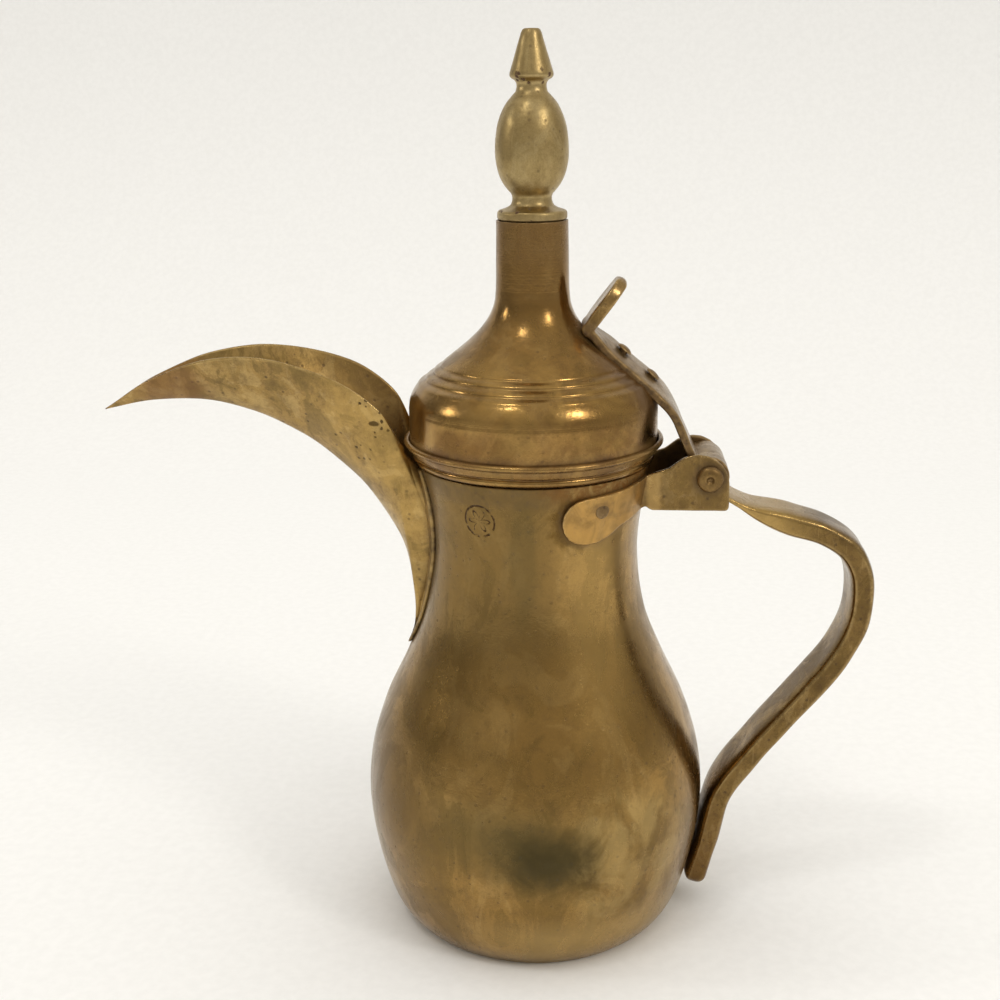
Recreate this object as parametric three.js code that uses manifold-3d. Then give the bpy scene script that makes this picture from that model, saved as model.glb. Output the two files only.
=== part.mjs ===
// Brass dallah coffee pot, built as an assembly of separate pieces.
// Millimetres, +Z up. The pot stands on z = 0 with its axis on x = y = 0,
// the spout points to -X and the handle to +X.

import * as THREE from 'three';
import { mergeVertices } from 'three/addons/utils/BufferGeometryUtils.js';
import { ParametricGeometry } from 'three/addons/geometries/ParametricGeometry.js';
import Module from 'manifold-3d';

const wasm = await Module();
wasm.setup();

// ---- driving dimensions -------------------------------------------------

const gap = 0.3;            // clearance between pieces that are soldered or riveted together
const roundSides = 40;      // facets round the pot
const smallSides = 16;      // facets round rivets and pins

const sheet = 1.4;          // body wall
const lidSheet = 1.2;       // lid wall
const plateThickness = 1.6; // base plate
const rimHeight = 163.9;    // top edge of the neck
const baseRadius = 44.5;    // foot edge the pot stands on

const ringHeight = 5.4;     // mouth ring inside the neck
const mouthRadius = 34;
const collarRadius = 33.2;  // locating collar of the lid
const collarDrop = 8;
const bandBottom = rimHeight + 0.5;
const bandRadius = 42.9;
const bandSeat = 170.0;     // ledge in the band that carries the dome
const domeRadius = 40.9;
const tubeTop = 242.2;
const tubeRadius = 11.5;
const potHeight = 300;

const pin = { x: 57.4, z: 160.8, radius: 2.6, bore: 3.0, head: 4.2, crown: 1.7 };
const ear = { half: 14, thickness: 1.8, right: 63.8, bottom: 150, arc: 10.1 };
const wingThickness = 1.6;
const knuckleRadius = 6.6;

const spoutWall = 1.3;
const handleWidth = 19;
const handleThickness = 7.8;

// ---- helpers ------------------------------------------------------------

const v2 = (x, y) => new THREE.Vector2(x, y);
const toPoints = (list) => list.map(([x, y]) => v2(x, y));
const spline = (list, count) => new THREE.SplineCurve(toPoints(list)).getPoints(count);

// Keeps positions only, welds shared corners and drops collapsed triangles.
function weld(geometry) {
  geometry.deleteAttribute('normal');
  geometry.deleteAttribute('uv');
  const welded = mergeVertices(geometry, 1e-4);
  const old = welded.index.array;
  const kept = [];
  for (let i = 0; i < old.length; i += 3) {
    const [a, b, c] = [old[i], old[i + 1], old[i + 2]];
    if (a !== b && b !== c && c !== a) kept.push(a, b, c);
  }
  welded.setIndex(kept);
  return welded;
}

function solidOf(geometry) {
  const welded = weld(geometry);
  return new wasm.Manifold(new wasm.Mesh({
    numProp: 3,
    vertProperties: new Float32Array(welded.attributes.position.array),
    triVerts: new Uint32Array(welded.index.array),
  }));
}

function geometryOf(solid) {
  const mesh = solid.getMesh();
  const geometry = new THREE.BufferGeometry();
  geometry.setAttribute('position', new THREE.BufferAttribute(mesh.vertProperties, 3));
  geometry.setIndex(new THREE.BufferAttribute(mesh.triVerts, 1));
  return geometry;
}

// Turns a closed (radius, height) outline round the pot's axis.
function turned(outline, sides = roundSides) {
  return new THREE.LatheGeometry(outline, sides).rotateX(Math.PI / 2);
}

// Pushes an (x, z) outline through the pot from y = low to y = high.
function slab(shape, low, high, steps = 1, curveSegments = 6) {
  const depth = high - low;
  const options = { depth, steps, curveSegments, bevelEnabled: false };
  return new THREE.ExtrudeGeometry(shape, options).rotateX(Math.PI / 2).translate(0, high, 0);
}

// Moves every point of a profile sideways; positive is to the right of its direction.
function offset(points, distance) {
  return points.map((point, i) => {
    const before = points[Math.max(i - 1, 0)];
    const after = points[Math.min(i + 1, points.length - 1)];
    const along = after.clone().sub(before).normalize();
    return v2(point.x + along.y * distance, point.y - along.x * distance);
  });
}

function closed(points) {
  return [...points, points[0].clone()];
}

// ---- body ---------------------------------------------------------------

const bodyAnchors = [
  [baseRadius, 0], [47.6, 3.2], [50.9, 8.4], [53.9, 17], [56.6, 28.5], [58.5, 45], [57.1, 61],
  [52, 78], [44.1, 95], [37.7, 111.5], [34.9, 133], [36.1, 149], [38.4, rimHeight],
];
const bodyOutside = spline(bodyAnchors, 20);
const bodyInside = offset(bodyOutside, -sheet).filter((p) => p.y > 1 && p.y < rimHeight - 0.5);

function radiusAt(profile, height) {
  const above = profile.findIndex((p) => p.y >= height);
  const i = above === -1 ? profile.length - 1 : Math.max(1, above);
  const [low, high] = [profile[i - 1], profile[i]];
  return THREE.MathUtils.mapLinear(height, low.y, high.y, low.x, high.x);
}

// The solid space inside the pot's outer surface, grown by a clearance.
function bodySpace(clearance) {
  const skin = offset(bodyOutside, clearance).filter((p) => p.y > 0);
  const top = v2(skin.at(-1).x + 0.8, rimHeight + 8);
  return solidOf(turned([v2(0, 0), v2(baseRadius, 0), ...skin, top, v2(0, top.y)]));
}

// Rivets through the bracket's wings: angle from the handle side, height and radii.
const rivetAngle = THREE.MathUtils.degToRad(54);
const rivetHeight = 155;
const wingRivet = { radius: 1.8, head: 2.5 };
const wingHole = { radius: wingRivet.radius + gap, from: 30, to: 42 };

// The hole that a wing's rivet passes through, along the pot's radius.
function wingRivetHole(side) {
  const { radius, from, to } = wingHole;
  const hole = new THREE.CylinderGeometry(radius, radius, to - from, smallSides);
  hole.rotateZ(-Math.PI / 2).translate((from + to) / 2, 0, rivetHeight);
  return solidOf(hole.rotateZ(side * rivetAngle));
}

function bodyShell() {
  const foot = v2(baseRadius - sheet, 0);
  const lip = v2(bodyOutside.at(-1).x - sheet, rimHeight);
  const outline = closed([foot, ...bodyOutside, lip, ...bodyInside.toReversed()]);
  let shell = solidOf(turned(outline));
  // pour window behind the spout: wide under the rim, closing to a point below
  const window = new THREE.Shape(toPoints([[-1.2, 117], [1.2, 117], [9, 155.5], [-9, 155.5]]));
  const cutter = new THREE.ExtrudeGeometry(window, { depth: 30, bevelEnabled: false });
  cutter.rotateX(Math.PI / 2).rotateZ(Math.PI / 2).translate(-55, 0, 0);
  shell = shell.subtract(solidOf(cutter));
  for (const side of [-1, 1]) shell = shell.subtract(wingRivetHole(side));
  return geometryOf(shell);
}

function basePlate() {
  const radius = baseRadius - sheet - gap;
  const plate = new THREE.CylinderGeometry(radius, radius, plateThickness, roundSides);
  return plate.rotateX(Math.PI / 2).translate(0, 0, plateThickness / 2);
}

function mouthRing() {
  const low = rimHeight - ringHeight;
  const outerLow = radiusAt(bodyInside, low) - gap;
  const outerHigh = radiusAt(bodyInside, rimHeight - 1.5) - gap + 0.15;
  return turned(closed(toPoints([
    [mouthRadius, low], [outerLow, low], [outerHigh, rimHeight - 0.1], [mouthRadius, rimHeight - 0.1],
  ])));
}

// ---- spout --------------------------------------------------------------

// Edges run from the root on the neck to the tip: [x, z] for the keel, [x, half width, z] for the rim.
const keelLine = [
  [-42.3, 97.6], [-40.0, 111], [-44.3, 134], [-55, 152.5], [-69, 166.4], [-87, 177.3],
  [-106, 183.3], [-126, 183.6], [-144, 180.2],
];
const rimLine = [
  [-39.6, 17.2, 167], [-43.6, 17.2, 174.6], [-47.8, 17.8, 182.5], [-58, 18.2, 191], [-71.5, 16.6, 196.6],
  [-88.5, 12.9, 199.8], [-107, 9.6, 198.3], [-126.5, 6.2, 191.2], [-144, 0.3, 180.4],
];
const keelCurve = new THREE.CatmullRomCurve3(keelLine.map(([x, z]) => new THREE.Vector3(x, 0, z)));
const rimCurve = new THREE.CatmullRomCurve3(rimLine.map(([x, y, z]) => new THREE.Vector3(x, y, z)));
const spoutStations = 22;
const spoutSide = 6;        // facets from keel to rim
const fullness = { root: 0.5, beak: 0.8 };   // exponent of a side's bulge: smaller is rounder
const spoutApex = [-15, 0, 140];             // the root is drawn to this point inside the neck
const spoutTip = [-144.2, 0, 180.3];

// A point of the beak: t runs from root to tip, s from -1 (near rim) over 0 (keel) to 1 (far rim).
function beakPoint(t, s, inside, target) {
  const keel = keelCurve.getPoint(t);
  const rim = rimCurve.getPoint(t);
  const tall = Math.hypot(rim.x - keel.x, rim.z - keel.z) + 0.01;
  const floor = inside ? Math.min(0.5, 1.5 * spoutWall / tall) : 0;
  const rise = floor + (1 - floor) * Math.abs(s);
  const bulge = THREE.MathUtils.lerp(fullness.root, fullness.beak, Math.min(1, t * 2));
  const outer = rim.y * Math.abs(s) ** bulge;
  const width = inside ? Math.max(0.4 * outer, outer - spoutWall) : outer;
  target.set(keel.x + (rim.x - keel.x) * rise, Math.sign(s) * width, keel.z + (rim.z - keel.z) * rise);
}

function spout() {
  const loop = 4 * spoutSide + 2;
  const rows = spoutStations + 1;
  const beak = new ParametricGeometry((u, v, target) => {
    const row = Math.round(v * rows);
    const step = (loop - Math.round(u * loop)) % loop;
    if (row === 0 || row === rows) {
      target.set(...(row === 0 ? spoutApex : spoutTip));
      return;
    }
    const inside = step > 2 * spoutSide;
    const along = inside ? 4 * spoutSide + 1 - step : step;
    beakPoint((row - 1) / spoutStations, along / spoutSide - 1, inside, target);
  }, loop, rows);
  const bandRoom = turned(toPoints([
    [0, rimHeight], [bandRadius + 0.5, rimHeight], [bandRadius + 0.5, 190], [0, 190],
  ]));
  return geometryOf(solidOf(beak).subtract(bodySpace(gap)).subtract(solidOf(bandRoom)));
}

// ---- lid ----------------------------------------------------------------

const domeAnchors = [
  [domeRadius, 182], [40.3, 185.6], [37.7, 190], [34, 193], [30.4, 196], [25.4, 200], [20.6, 204],
  [16.6, 208], [13.9, 212], [12.4, 216], [11.9, 220],
];

const domeSkin = spline(domeAnchors, 14);
const lidOutside = [v2(domeRadius, bandSeat + gap), ...domeSkin, v2(tubeRadius, tubeTop)];

function lidSpace(clearance) {
  const skin = offset(lidOutside, clearance);
  return solidOf(turned([v2(0, skin[0].y), ...skin, v2(0, skin.at(-1).y)]));
}

// Rivets of the lid arm: where each crosses the meridian and the way it points.
const armRivets = {
  upper: { x: 28.7, z: 199.2, turn: THREE.MathUtils.degToRad(40) },
  lower: { x: 37.9, z: 191.0, turn: THREE.MathUtils.degToRad(43) },
};
const armRivetRadius = 1.5;

function alongRivet(geometry, rivet) {
  return geometry.rotateX(Math.PI / 2).rotateY(rivet.turn).translate(rivet.x, 0, rivet.z);
}

function rivetHole(rivet) {
  const hole = new THREE.CylinderGeometry(armRivetRadius + gap, armRivetRadius + gap, 16, smallSides);
  return solidOf(alongRivet(hole, rivet));
}

function lidShell() {
  const inside = offset(lidOutside, -lidSheet);
  inside[0].y = lidOutside[0].y;
  inside.at(-1).y = tubeTop;
  const outline = closed([...lidOutside, ...inside.toReversed()]);
  let shell = solidOf(turned(outline));
  for (const rivet of Object.values(armRivets)) shell = shell.subtract(rivetHole(rivet));
  return geometryOf(shell);
}

function lidBand() {
  const bore = collarRadius + gap;
  const rebate = domeRadius + gap;
  return turned(closed(toPoints([
    [bore, bandBottom], [38.9, bandBottom], [39.9, 165.3], [40.1, 166.2], [39.7, 166.8], [40.6, 167.3],
    [41.7, 169.6], [42.2, 170.1], [bandRadius, 170.6], [bandRadius, 171.5], [42.3, 172.1],
    [rebate, 172.1], [rebate, bandSeat], [bore, bandSeat],
  ])));
}

function lidCollar() {
  const inner = collarRadius - 1.2;
  const flange = 37.4;
  return turned(closed(toPoints([
    [inner, rimHeight - collarDrop], [collarRadius, rimHeight - collarDrop], [collarRadius, bandSeat + gap],
    [flange, bandSeat + gap], [flange, bandSeat + 1.4], [inner, bandSeat + 1.4],
  ])));
}

function finial() {
  const disc = tubeTop + gap;
  const bulb = spline([
    [6.5, 250.2], [8.9, 253.1], [10.9, 257.7], [11.6, 264], [11, 270.3], [9.4, 275.3], [6.9, 279], [4.9, 281],
  ], 8);
  return turned([
    v2(0, 229), v2(9.2, 229), v2(9.9, 230), v2(9.9, disc), v2(11, disc), v2(11, 244.8), v2(10.6, 245.3),
    v2(7.2, 246.6), v2(6.4, 247.4), v2(6.3, 249.4), ...bulb, v2(4.7, 284.2), v2(5.2, 285), v2(6.7, 286.2),
    v2(6.6, 287), v2(3.1, 299), v2(2.4, 299.8), v2(1.6, potHeight), v2(0.9, 299.4), v2(0, 298.6),
  ], 24);
}

// ---- lid arm ------------------------------------------------------------

const armWidth = { tab: 8, fold: 8.8, knuckle: 11.9 };

// Half width of the strap: narrow at the fold, full at the knuckle, rounded at the tab's tip.
function armHalfWidth(x, z) {
  const spread = THREE.MathUtils.smoothstep(x, 18, 46);
  const strap = THREE.MathUtils.lerp(armWidth.fold, armWidth.knuckle, spread);
  if (z < 207.5 || x > 31) return strap;
  const toTip = Math.max(0, 223.6 - z) / 9;
  const rounded = Math.sqrt(Math.max(0.04, 1 - Math.max(0, 1 - toTip) ** 2));
  return armWidth.tab * rounded;
}

// The strap is dished where it lies on the dome, and straight at the fold and the knuckle.
function armCrown(x, z, across) {
  const lying = THREE.MathUtils.smoothstep(x, 19, 25) * (1 - THREE.MathUtils.smoothstep(x, 40, 47));
  return z < 208 ? 1.6 * lying * (1 - across * across) : 0;
}

function lidArm() {
  const side = new THREE.Shape();
  side.moveTo(26.4, 222.6);
  side.lineTo(17.3, 210.8);
  side.quadraticCurveTo(15.3, 208, 17.9, 205.5);
  side.splineThru(toPoints([
    [28.1, 196.5], [34.6, 190.9], [39.4, 186.7], [43.5, 182.2], [46.3, 177.6], [48.2, 172.5], [50.2, 166.5],
  ]));
  const start = Math.PI * 0.86;
  side.absarc(pin.x, pin.z, knuckleRadius, start, start + Math.PI * 1.72, false);
  side.splineThru(toPoints([
    [52.2, 170.5], [49.2, 176.4], [46.5, 181.3], [43.5, 185.8], [40.3, 189.2], [34.5, 194.4], [28.1, 199.9],
    [20.6, 206.8],
  ]));
  side.lineTo(20.2, 208.4);
  side.lineTo(24.6, 214.4);
  side.lineTo(29.8, 220.6);
  side.quadraticCurveTo(30.4, 222.6, 28.9, 223.5);
  side.quadraticCurveTo(27.5, 223.9, 26.4, 222.6);
  const strap = slab(side, -1, 1, 4, 4);
  const place = strap.attributes.position;
  for (let i = 0; i < place.count; i += 1) {
    const [x, across, z] = [place.getX(i), place.getY(i), place.getZ(i)];
    place.setY(i, across * armHalfWidth(x, z));
    place.setZ(i, z + armCrown(x, z, across));
  }
  const bore = new THREE.CylinderGeometry(pin.bore, pin.bore, 30, smallSides).translate(pin.x, 0, pin.z);
  let arm = solidOf(strap).subtract(solidOf(bore)).subtract(lidSpace(gap));
  for (const rivet of Object.values(armRivets)) arm = arm.subtract(rivetHole(rivet));
  return geometryOf(arm);
}

// Domed head outside, shaft through strap and dome, peened head inside.
function armRivet(rivet, outerHead, innerHead) {
  const outline = toPoints([
    [0, innerHead - 0.9], [1.6, innerHead - 0.8], [2.4, innerHead], [armRivetRadius, innerHead],
    [armRivetRadius, outerHead], [2.5, outerHead], [2.3, outerHead + 0.5], [1.4, outerHead + 0.95],
    [0, outerHead + 1.1],
  ]);
  return alongRivet(new THREE.LatheGeometry(outline, smallSides), rivet);
}

// ---- hinge --------------------------------------------------------------

function hingePin() {
  const face = ear.half + gap;
  const half = [
    [pin.radius, face], [pin.head, face], [pin.head - 0.3, face + 0.7], [2.9, face + 1.4],
    [1.4, face + pin.crown], [0, face + pin.crown],
  ];
  const outline = [...half.toReversed().map(([r, y]) => v2(r, -y)), ...toPoints(half)];
  return new THREE.LatheGeometry(outline, smallSides).translate(pin.x, 0, pin.z);
}

// One folded sheet: two ears, the web under them and a wing hugging each side of the neck.
function hingeBracket() {
  const inner = ear.half - ear.thickness;
  const side = new THREE.Shape();
  side.moveTo(32, ear.bottom);
  side.lineTo(ear.right - 1, ear.bottom);
  side.lineTo(ear.right, ear.bottom + 1);
  side.absarc(ear.right - ear.arc, 158.7, ear.arc, 0, Math.PI * 0.66, false);
  side.splineThru(toPoints([[46.4, 165.8], [44.4, 164.2], [41, 163.4], [32, 161.6]]));
  const web = new THREE.Shape(toPoints([
    [32, ear.bottom], [ear.right - 0.6, ear.bottom], [ear.right - 0.6, ear.bottom + ear.thickness],
    [32, ear.bottom + ear.thickness],
  ]));
  const wing = new THREE.Shape();
  wing.moveTo(44, ear.bottom);
  wing.lineTo(33, 149.4);
  wing.bezierCurveTo(28, 148.5, 26, 144.1, 18.1, 144.1);
  wing.absarc(18.1, 152, 7.9, -Math.PI / 2, Math.PI / 2, true);
  wing.bezierCurveTo(26, 160, 31, 159.8, 36, 161.6);
  wing.lineTo(41, 163.4);
  wing.lineTo(44, 164);
  const low = 140;
  const hug = bodyOutside.filter((p) => p.y > low - 6);
  const inside = offset(hug, gap);
  const outside = offset(hug, gap + wingThickness);
  const sleeve = solidOf(turned(closed([...outside, ...inside.toReversed()])));
  const ears = [-1, 1].map((hand) => {
    const [a, b] = [hand * inner, hand * ear.half].sort((p, q) => p - q);
    return solidOf(slab(side, a, b));
  });
  const wings = [-1, 1].map((hand) => {
    const [a, b] = [hand * inner, hand * 45].sort((p, q) => p - q);
    return sleeve.intersect(solidOf(slab(wing, a, b)));
  });
  let bracket = solidOf(slab(web, -ear.half + 0.5, ear.half - 0.5));
  for (const piece of [...ears, ...wings]) bracket = bracket.add(piece);
  const pinHole = new THREE.CylinderGeometry(pin.radius + gap, pin.radius + gap, 40, smallSides);
  bracket = bracket.subtract(bodySpace(gap)).subtract(solidOf(pinHole.translate(pin.x, 0, pin.z)));
  for (const hand of [-1, 1]) bracket = bracket.subtract(wingRivetHole(hand));
  return geometryOf(bracket.subtract(solidOf(tongueRivetHole())));
}

// Flush outside on the wing, peened over inside the neck.
function bracketRivet(side) {
  const inner = radiusAt(bodyInside, rivetHeight - 2.5) - gap - 0.1;
  const outer = radiusAt(bodyOutside, rivetHeight) + gap + wingThickness;
  const outline = toPoints([
    [0, inner - 0.9], [1.7, inner - 0.8], [wingRivet.head, inner - 0.3], [wingRivet.head, inner],
    [wingRivet.radius, inner], [wingRivet.radius, outer], [1.2, outer + 0.4], [0, outer + 0.5],
  ]);
  const rivet = new THREE.LatheGeometry(outline, smallSides).rotateZ(-Math.PI / 2);
  return rivet.translate(0, 0, rivetHeight).rotateZ(side * rivetAngle);
}

// ---- handle -------------------------------------------------------------

const tongue = { bottom: ear.bottom + ear.thickness + gap, thickness: 1.8, from: 41, half: 9.5 };
const tongueRivet = { x: 46.5, radius: 1.6 };

function tongueRivetHole() {
  const radius = tongueRivet.radius + gap;
  const hole = new THREE.CylinderGeometry(radius, radius, 12, smallSides).rotateX(Math.PI / 2);
  return hole.translate(tongueRivet.x, 0, tongue.bottom);
}

// Middle line of the grip from the hinge bracket, over the shoulder and down to the belly.
const gripLine = [
  [64.6, 151], [72, 147.9], [84.8, 143.6], [95.8, 140.2], [104.4, 134.7], [108.6, 127.4], [109.7, 119],
  [108.6, 108.8], [103.4, 96.6], [94.2, 83.7], [76.4, 61.2], [65.4, 44.8], [62.5, 34.4], [60.8, 25.6],
  [57.9, 15.2], [56.2, 8.8],
].map(([x, z]) => new THREE.Vector3(x, 0, z));
const gripCurve = new THREE.CatmullRomCurve3(gripLine, false, 'centripetal');
const gripSquareness = 0.45;   // exponent of the bar's section: 1 is an ellipse, 0 a sharp rectangle

function handle() {
  const stations = 30;
  const sides = 12;
  const rows = stations + 2;
  const normal = new THREE.Vector3();
  const bar = new ParametricGeometry((u, v, target) => {
    const row = Math.round(v * rows);
    const t = THREE.MathUtils.clamp((row - 1) / stations, 0, 1);
    gripCurve.getPointAt(t, target);
    if (row === 0 || row === rows) return;
    const along = gripCurve.getTangentAt(t);
    normal.set(-along.z, 0, along.x);
    const start = THREE.MathUtils.smoothstep(t, 0, 0.1);
    const end = Math.sqrt(Math.max(0.09, 1 - Math.max(0, (t - 0.965) / 0.035) ** 2));
    const thick = THREE.MathUtils.lerp(1.2, handleThickness, start) * end / 2;
    const wide = handleWidth * end / 2;
    const turn = 2 * Math.PI * u;
    const [c, s] = [Math.cos(turn), Math.sin(turn)];
    target.y = wide * Math.sign(c) * Math.abs(c) ** gripSquareness;
    target.addScaledVector(normal, thick * Math.sign(s) * Math.abs(s) ** gripSquareness);
  }, sides, rows);
  const plate = new THREE.Shape(toPoints([
    [tongue.from, tongue.bottom], [64.2, tongue.bottom], [67.5, 148.8], [68.5, 150],
    [65.5, tongue.bottom + tongue.thickness], [tongue.from, tongue.bottom + tongue.thickness],
  ]));
  const joined = solidOf(bar).add(solidOf(slab(plate, -tongue.half, tongue.half)));
  const webRoom = slab(new THREE.Shape(toPoints([
    [30, ear.bottom - 1], [ear.right + gap, ear.bottom - 1], [ear.right + gap, tongue.bottom],
    [30, tongue.bottom],
  ])), -20, 20);
  const fitted = joined.subtract(bodySpace(gap)).subtract(solidOf(webRoom));
  return geometryOf(fitted.subtract(solidOf(tongueRivetHole())));
}

function handleRivet() {
  const top = tongue.bottom + tongue.thickness + gap;
  const low = ear.bottom - gap;
  const { radius } = tongueRivet;
  const rivet = new THREE.LatheGeometry(toPoints([
    [0, low - 0.8], [1.7, low - 0.7], [2.6, low - 0.3], [2.6, low], [radius, low], [radius, top], [2.4, top],
    [2.2, top + 0.4], [0, top + 0.8],
  ]), smallSides);
  return rivet.rotateX(Math.PI / 2).translate(tongueRivet.x, 0, 0);
}

// ---- assembly -----------------------------------------------------------

const finishes = {
  agedBrass: { color: 0x9a7a42, roughness: 0.42, metalness: 1 },
  spoutBrass: { color: 0x94743c, roughness: 0.45, metalness: 1 },
  castBrass: { color: 0xa88c58, roughness: 0.38, metalness: 1 },
  paleBrass: { color: 0xb09866, roughness: 0.4, metalness: 1 },
  tinnedSeat: { color: 0x8b7a55, roughness: 0.5, metalness: 1 },
};

function piece(name, geometry, finish) {
  const bare = weld(geometry.index ? geometry : mergeVertices(geometry));
  bare.computeVertexNormals();
  const mesh = new THREE.Mesh(bare, new THREE.MeshStandardMaterial(finishes[finish]));
  mesh.name = name;
  return mesh;
}

const vessel = new THREE.Group();
vessel.add(
  piece('body_shell', bodyShell(), 'agedBrass'),
  piece('base_plate', basePlate(), 'agedBrass'),
  piece('mouth_ring', mouthRing(), 'tinnedSeat'),
  piece('spout', spout(), 'spoutBrass'),
);

const hinge = new THREE.Group();
hinge.add(
  piece('hinge_bracket', hingeBracket(), 'castBrass'),
  piece('bracket_rivet_near', bracketRivet(-1), 'castBrass'),
  piece('bracket_rivet_far', bracketRivet(1), 'castBrass'),
  piece('hinge_pin', hingePin(), 'castBrass'),
  piece('handle', handle(), 'castBrass'),
  piece('handle_rivet', handleRivet(), 'castBrass'),
);

const lid = new THREE.Group();
lid.add(
  piece('lid_shell', lidShell(), 'agedBrass'),
  piece('lid_band', lidBand(), 'agedBrass'),
  piece('lid_collar', lidCollar(), 'tinnedSeat'),
  piece('finial', finial(), 'paleBrass'),
  piece('lid_arm', lidArm(), 'castBrass'),
  piece('arm_rivet_upper', armRivet(armRivets.upper, 1.7, -3.2), 'castBrass'),
  piece('arm_rivet_lower', armRivet(armRivets.lower, 1.7, -3.1), 'castBrass'),
);

const dallah = new THREE.Group();
dallah.add(vessel, hinge, lid);

export default dallah;
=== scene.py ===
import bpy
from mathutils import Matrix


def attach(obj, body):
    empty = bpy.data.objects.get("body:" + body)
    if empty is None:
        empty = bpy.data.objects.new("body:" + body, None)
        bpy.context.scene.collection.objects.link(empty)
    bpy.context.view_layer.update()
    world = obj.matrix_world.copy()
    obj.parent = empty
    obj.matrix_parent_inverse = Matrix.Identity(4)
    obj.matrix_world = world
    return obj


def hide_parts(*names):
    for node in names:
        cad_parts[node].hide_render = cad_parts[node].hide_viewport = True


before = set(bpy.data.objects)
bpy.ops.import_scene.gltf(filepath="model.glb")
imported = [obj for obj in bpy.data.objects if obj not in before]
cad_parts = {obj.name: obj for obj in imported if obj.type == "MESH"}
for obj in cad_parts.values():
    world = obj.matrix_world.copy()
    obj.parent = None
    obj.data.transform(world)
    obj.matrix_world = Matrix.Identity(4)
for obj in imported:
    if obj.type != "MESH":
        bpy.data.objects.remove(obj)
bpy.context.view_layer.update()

import math

import bmesh
import bpy
import numpy as np
from mathutils import Matrix, Vector, noise
from mathutils.bvhtree import BVHTree

print("frame loaded:", len(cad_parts), "nodes")

mm = 0.001
scene = bpy.context.scene
pieces = {}  # name: object, in the order they are made

# small helpers

def ramp(low, high, value):
    t = np.clip((np.asarray(value, float) - low) / (high - low), 0, 1)
    return t * t * (3 - 2 * t)


def curveThrough(points, count):  # centripetal Catmull-Rom, evenly spaced along its length
    p = np.array(points, float)
    p = np.vstack([2 * p[0] - p[1], p, 2 * p[-1] - p[-2]])
    fine = []
    for i in range(1, len(p) - 2):
        p0, p1, p2, p3 = p[i - 1:i + 3]
        k0, k1, k2 = [max(np.linalg.norm(b - a) ** 0.5, 1e-6) for a, b in ((p0, p1), (p1, p2), (p2, p3))]
        m1 = ((p1 - p0) / k0 - (p2 - p0) / (k0 + k1) + (p2 - p1) / k1) * k1
        m2 = ((p2 - p1) / k1 - (p3 - p1) / (k1 + k2) + (p3 - p2) / k2) * k1
        for t in np.linspace(0, 1, 40, endpoint=False):
            a, b = t * t, t * t * t
            fine.append(p1 * (2 * b - 3 * a + 1) + m1 * (b - 2 * a + t) + p2 * (3 * a - 2 * b) + m2 * (b - a))
    fine.append(p[-2])
    fine = np.array(fine)
    walked = np.concatenate([[0], np.cumsum(np.linalg.norm(np.diff(fine, axis=0), axis=1))])
    stops = np.linspace(0, walked[-1], count)
    return np.column_stack([np.interp(stops, walked, fine[:, k]) for k in range(fine.shape[1])])


def softened(points, radius, steps=4, closed=False):  # rounds the corners of an outline
    p = [np.array(q, float) for q in points]
    n = len(p)
    out = []
    for i in range(n):
        if not closed and i in (0, n - 1):
            out.append(p[i])
            continue
        a, b, c = p[i - 1], p[i], p[(i + 1) % n]
        la, lc = np.linalg.norm(a - b), np.linalg.norm(c - b)
        if la < 1e-9 or lc < 1e-9:
            continue
        ua, uc = (a - b) / la, (c - b) / lc
        if np.dot(ua, uc) < -0.97:  # nearly straight
            out.append(b)
            continue
        r = min(radius, 0.45 * la, 0.45 * lc)
        for t in np.linspace(0, 1, steps + 1):
            out.append((1 - t) ** 2 * (b + ua * r) + 2 * t * (1 - t) * b + t ** 2 * (b + uc * r))
    return np.array(out)


def sideways(points, distance):  # moves a profile sideways, positive to the right of its direction
    p = np.array(points, float)
    along = np.gradient(p, axis=0)
    along /= np.linalg.norm(along, axis=1)[:, None]
    return p + np.column_stack([along[:, 1], -along[:, 0]]) * distance


def meshObject(name, verts, faces):
    mesh = bpy.data.meshes.new(name)
    mesh.from_pydata([tuple(v) for v in verts], [], faces)
    mesh.validate()
    piece = bpy.data.objects.new(name, mesh)
    scene.collection.objects.link(piece)
    return piece


def drop(piece):
    mesh = piece.data
    bpy.data.objects.remove(piece)
    bpy.data.meshes.remove(mesh)


def settled(piece, name):  # a plain mesh of the evaluated piece, with outward faces
    bpy.context.view_layer.update()
    graph = bpy.context.evaluated_depsgraph_get()
    mesh = bpy.data.meshes.new_from_object(piece.evaluated_get(graph))
    drop(piece)
    work = bmesh.new()
    work.from_mesh(mesh)
    bmesh.ops.remove_doubles(work, verts=work.verts, dist=1e-7)
    bmesh.ops.dissolve_degenerate(work, dist=1e-7, edges=work.edges)
    bmesh.ops.recalc_face_normals(work, faces=work.faces)
    if work.calc_volume(signed=True) < 0:
        bmesh.ops.reverse_faces(work, faces=work.faces)
    work.to_mesh(mesh)
    work.free()
    mesh.name = name
    mesh.shade_smooth()
    done = bpy.data.objects.new(name, mesh)
    scene.collection.objects.link(done)
    return done


def uneven(piece, size, height, seed=0.0):  # soft hand-made waviness along the normals
    mesh = piece.data
    shift = Vector((seed, seed * 1.7, seed * 0.6))
    normals = [v.normal.copy() for v in mesh.vertices]
    for v, n in zip(mesh.vertices, normals):
        v.co += n * noise.noise(v.co / size + shift) * height
    mesh.update()

# node trees

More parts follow.
